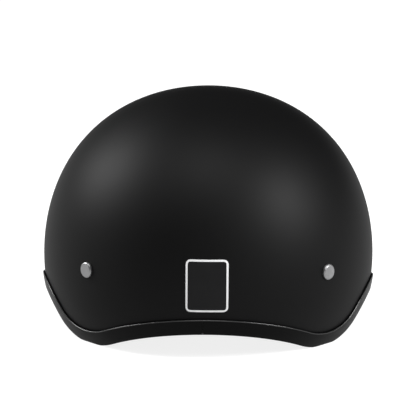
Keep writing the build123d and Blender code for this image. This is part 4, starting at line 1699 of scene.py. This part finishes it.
@dataclass
class TailSide(Retention):
    """The wearer's right: the long strap, folded back on itself and held by a snap."""

    reach: float = 74.0 * MM
    tail: float = 49.0 * MM
    lift: float = 1.4 * MM
    snap_setback: float = 12.0 * MM
    cap_radius: float = 7.0 * MM
    cap_height: float = 2.2 * MM
    stud_radius: float = 2.2 * MM
    base_radius: float = 5.5 * MM
    base_height: float = 0.5 * MM
    socket_fit: float = 0.25 * MM
    socket_wall: float = 1.6 * MM
    stitch_pitch: float = 2.2 * MM
    stitch_half: float = 8.6 * MM
    stitch_insets: Pair = (2.0 * MM, 4.2 * MM)

    def strap_path(self) -> np.ndarray:
        """Side view of the strap: out, round the fold, and back as the tail."""
        radius, gap = (self.lift + self.band.thickness) / 2, 0.6 * MM
        turn = np.linspace(-math.pi / 2, math.pi / 2, 17)
        out = pairs(np.linspace(self.stop, self.reach - gap, 50), 0.0)
        fold = pairs(self.reach + radius * np.cos(turn), radius + radius * np.sin(turn))
        back = pairs(np.linspace(self.reach - gap, self.reach - self.tail, 40), 2 * radius)
        return resampled(np.vstack([out, fold, back]), self.row_spacing)

    def cap_profile(self, foot: float) -> np.ndarray:
        """Profile of the snap's cap: a quarter ellipse over a rim, and the socket for the stud below."""
        rim_height, around = 0.5 * MM, np.linspace(0, math.pi / 2, 14)
        bore = self.stud_radius + self.socket_fit
        socket_radius = bore + self.socket_wall
        socket_foot = self.band.thickness / 2 + self.base_height + self.socket_fit
        cap = pairs(PIN + (self.cap_radius - PIN) * np.sin(around),
                    foot + rim_height + (self.cap_height - rim_height) * np.cos(around))
        under = [(self.cap_radius, foot), (socket_radius, foot), (socket_radius, socket_foot),
                 (bore, socket_foot), (bore, foot), (PIN, foot)]
        return np.vstack([cap, under])

    def stud_profile(self, top: float) -> np.ndarray:
        """Profile of the snap's post: a flat base, a neck and a rounded head."""
        half, radius = self.band.thickness / 2, self.stud_radius
        neck = 0.82 * radius
        return np.array([
            (PIN, half), (self.base_radius, half), (self.base_radius, half + self.base_height),
            (neck, half + self.base_height), (neck, top - 1.4 * MM), (radius, top - 0.9 * MM),
            (0.9 * radius, top - 0.2 * MM), (0.5 * radius, top), (PIN, top),
        ])

    def build(self, finishes: Finishes) -> None:
        """Make the legs, the strap with its tail, the hem stitching and the snap."""
        self.build_legs(finishes)
        frame = self.frame()
        band = self.band_along(self.strap_path())
        strap = piece_from("chin_strap_webbing", band, finishes.webbing, crease=60)
        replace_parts(strap, "chin_strap", "strap_tail")
        half, tail_middle = self.band.thickness / 2, self.lift + self.band.thickness
        low, high = frame.strap(self.reach, half), frame.strap(self.reach, tail_middle - half)
        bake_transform(strap)
        end, foot = self.reach - self.tail, tail_middle + half
        runs = [[(end + inset, -self.stitch_half), (end + inset, self.stitch_half)]
                for inset in self.stitch_insets]
        sewn = self.stitched(runs, foot + self.thread_lift, self.stitch_pitch)
        thread = piece_from("tail_hem_stitching", sewn, finishes.thread)
        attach(thread, "tail")
        LOG.info("chin strap with its tail")
        axis = frame.strap(end + self.snap_setback, 0.0), frame.way(1, 0), frame.way(0, 0, 1)
        head = piece_from("snap_cap_head", turned(self.cap_profile(foot), *axis), finishes.cap)
        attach(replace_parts(head, "snap_cap"), "tail")
        stud = self.stud_profile(foot - self.socket_fit)
        post = piece_from("snap_stud_post", turned(stud, *axis), finishes.snap)
        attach(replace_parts(post, "snap_stud"), "right_strap")
        LOG.info("snap")


def turned_to(way: Vector) -> Matrix:
    """Turn of a lamp or a camera that looks this way with its top upwards."""
    return way.to_track_quat("-Z", "Y").to_matrix().to_4x4()


@dataclass(frozen=True)
class SoftBox:
    """Soft rectangular lamp that faces the helmet.

    Attributes:
        name: name of the lamp.
        place: where it stands.
        size: its width and height.
        power: its power in watts.
        facing: point that it faces.
    """

    name: str
    place: Triple
    size: Pair
    power: float
    facing: Triple = (0.0, 0.0, 0.08)

    def build(self) -> None:
        """Make the lamp."""
        data = bpy.data.lights.new(self.name, "AREA")
        data.shape = "RECTANGLE"
        data.size, data.size_y = self.size
        data.energy = self.power
        obj = bpy.data.objects.new(self.name, data)
        bpy.context.scene.collection.objects.link(obj)
        way = Vector(self.facing) - Vector(self.place)
        obj.matrix_world = Matrix.Translation(self.place) @ turned_to(way)


@dataclass
class Studio:
    """Plain floor, soft lamps and the camera of the photograph.

    Attributes:
        lamps: soft boxes.
        distance: distance from the target to the camera.
        target: point that the camera looks at.
        elevation: angle of the camera above the horizontal, in degrees.
        sway: angle by which it stands to the wearer's left, in degrees.
        roll: turn of its picture, in degrees.
        lens: length of its lens, in millimetres.
        sensor: width of its sensor, in millimetres.
        sight: greatest distance that it sees.
        floor_size: width of the floor.
        floor_drop: depth of the floor under the table's plane.
        lit_floor: grey of the floor as it lights the helmet.
        seen_floor: grey and glow of the floor as the camera sees it.
        mirrored_floor: grey and glow of the floor in reflections.
        ambient: strength of the world as light.
        horizon: two heights, and the brightness of reflections at each.
    """

    lamps: tuple[SoftBox, ...] = (
        SoftBox("left_softbox", (1.33, -0.42, 1.03), (0.6, 0.7), 26.0),
        SoftBox("right_softbox", (-1.31, 0.55, 1.0), (0.6, 0.7), 33.0),
        SoftBox("overhead_softbox", (0.04, 0.6, 1.67), (0.9, 0.7), 15.0),
    )
    distance: float = 1.6
    target: Triple = (0.0005, -0.0027, 0.0693)
    elevation: float = 11.6
    sway: float = -0.35
    roll: float = 0.4
    lens: float = 210.3
    sensor: float = 36.0
    sight: float = 100.0
    floor_size: float = 8.0
    floor_drop: float = 0.1 * MM
    lit_floor: float = 0.62
    seen_floor: Pair = (0.28, 0.84)
    mirrored_floor: Pair = (0.06, 0.76)
    ambient: float = 0.42
    horizon: tuple[float, float, float, float] = (0.0, 0.1, 1.0, 0.02)

    def floor(self) -> None:
        """Pale floor that looks white, takes a soft shadow, mirrors white too and is clear from below."""
        mesh = bpy.data.meshes.new("floor")
        half, low = self.floor_size / 2, -self.floor_drop
        corners = [(-half, -half, low), (half, -half, low), (half, half, low), (-half, half, low)]
        mesh.from_pydata(corners, [], [(0, 1, 2, 3)])
        obj = bpy.data.objects.new("floor", mesh)
        bpy.context.scene.collection.objects.link(obj)
        g = Graph("pale_floor")
        path = g.add("ShaderNodeLightPath").outputs
        mix = g.add("ShaderNodeBsdfDiffuse", {"Color": (*[self.lit_floor] * 3, 1)})
        mirror = g.reckoned("MAXIMUM", path["Is Glossy Ray"], path["Is Transmission Ray"])
        for share, (grey, glow) in ((mirror, self.mirrored_floor), (path["Is Camera Ray"], self.seen_floor)):
            matt = g.add("ShaderNodeBsdfDiffuse", {"Color": (*[grey] * 3, 1)})
            light = g.add("ShaderNodeEmission", {"Color": (1, 1, 1, 1), "Strength": glow})
            white = g.add("ShaderNodeAddShader", {0: matt.outputs[0], 1: light.outputs[0]})
            mix = g.add("ShaderNodeMixShader", {"Fac": share, 1: mix.outputs[0], 2: white.outputs[0]})
        under = g.add("ShaderNodeNewGeometry").outputs["Backfacing"]
        clear = g.add("ShaderNodeBsdfTransparent")
        one_sided = g.add("ShaderNodeMixShader", {"Fac": under, 1: mix.outputs[0], 2: clear.outputs[0]})
        g.tree.links.new(one_sided.outputs[0], g.output.inputs["Surface"])
        mesh.materials.append(g.material)

    def world(self) -> None:
        """World round the studio.

        It is white where the camera sees it. In reflections it is white near the horizon and falls to a
        dim ceiling above, and as light it is a weak even grey.
        """
        world = bpy.data.worlds.new("studio")
        bpy.context.scene.world = world
        world.use_nodes = True
        nodes, links = world.node_tree.nodes, world.node_tree.links
        nodes.clear()
        path, way = nodes.new("ShaderNodeLightPath"), nodes.new("ShaderNodeTexCoord")
        height = nodes.new("ShaderNodeSeparateXYZ")
        links.new(way.outputs["Generated"], height.inputs[0])
        mirrored_white = nodes.new("ShaderNodeMapRange")
        mirrored_white.interpolation_type = "SMOOTHSTEP"
        for name, value in zip(("From Min", "From Max", "To Min", "To Max"), self.horizon):
            mirrored_white.inputs[name].default_value = value
        links.new(height.outputs["Z"], mirrored_white.inputs["Value"])
        glossy, clear, seen = (nodes.new("ShaderNodeMix") for _ in range(3))
        glossy.inputs["A"].default_value = self.ambient
        links.new(path.outputs["Is Glossy Ray"], glossy.inputs["Factor"])
        links.new(mirrored_white.outputs["Result"], glossy.inputs["B"])
        for mix, kind, before in ((clear, "Is Transmission Ray", glossy), (seen, "Is Camera Ray", clear)):
            links.new(path.outputs[kind], mix.inputs["Factor"])
            links.new(before.outputs["Result"], mix.inputs["A"])
            mix.inputs["B"].default_value = 1.0
        background, output = nodes.new("ShaderNodeBackground"), nodes.new("ShaderNodeOutputWorld")
        background.inputs["Color"].default_value = (1, 1, 1, 1)
        links.new(seen.outputs["Result"], background.inputs["Strength"])
        links.new(background.outputs[0], output.inputs["Surface"])

    def camera(self) -> None:
        """Camera of the photograph: a long lens a little above the helmet, behind the wearer."""
        data = bpy.data.cameras.new("camera")
        data.lens, data.sensor_width, data.clip_end = self.lens, self.sensor, self.sight
        obj = bpy.data.objects.new("camera", data)
        bpy.context.scene.collection.objects.link(obj)
        lift, swing = math.radians(self.elevation), math.radians(self.sway)
        way = Vector((math.sin(swing) * math.cos(lift), math.cos(swing) * math.cos(lift), math.sin(lift)))
        roll = Matrix.Rotation(math.radians(self.roll), 4, "Z")
        place = Vector(self.target) + way * self.distance
        obj.matrix_world = Matrix.Translation(place) @ turned_to(-way) @ roll
        bpy.context.scene.camera = obj

    def build(self) -> None:
        """Make the floor, the world, the lamps and the camera."""
        self.floor()
        self.world()
        for lamp in self.lamps:
            lamp.build()
        self.camera()
        bpy.context.scene.view_settings.view_transform = "Standard"
        LOG.info("studio")


def dress_cad_nodes(nodes: dict[str, Object], finishes: Finishes) -> None:
    """Give the CAD nodes that stay visible their finishes."""
    kept = {
        "impact_liner": finishes.foam,
        "rivet_washers": finishes.washer,
        "left_yoke": finishes.yoke,
        "right_yoke": finishes.yoke,
    }
    for name, material in kept.items():
        mesh = nodes[name].data
        mesh.materials.clear()
        mesh.materials.append(material)
        LOG.info("%s keeps its CAD shape", name)


def main() -> None:
    """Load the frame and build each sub-assembly over it."""
    logging.basicConfig(level=logging.INFO, format="%(name)s: %(message)s")
    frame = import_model()
    finishes = Finishes()
    dome = Dome()
    seen_rim = Rim.seen(dome)
    shell = Shell(dome, seen_rim)
    shell.build(finishes)
    EdgeTrim(seen_rim).build(finishes)
    Padding(dome, Rim(dome)).build(finishes)
    RingSide(dome, shell, Side.LEFT).build(finishes)
    TailSide(dome, shell, Side.RIGHT).build(finishes)
    dress_cad_nodes(frame["nodes"], finishes)
    Studio().build()
    LOG.info("boxes written")


if __name__ == "__main__":
    main()
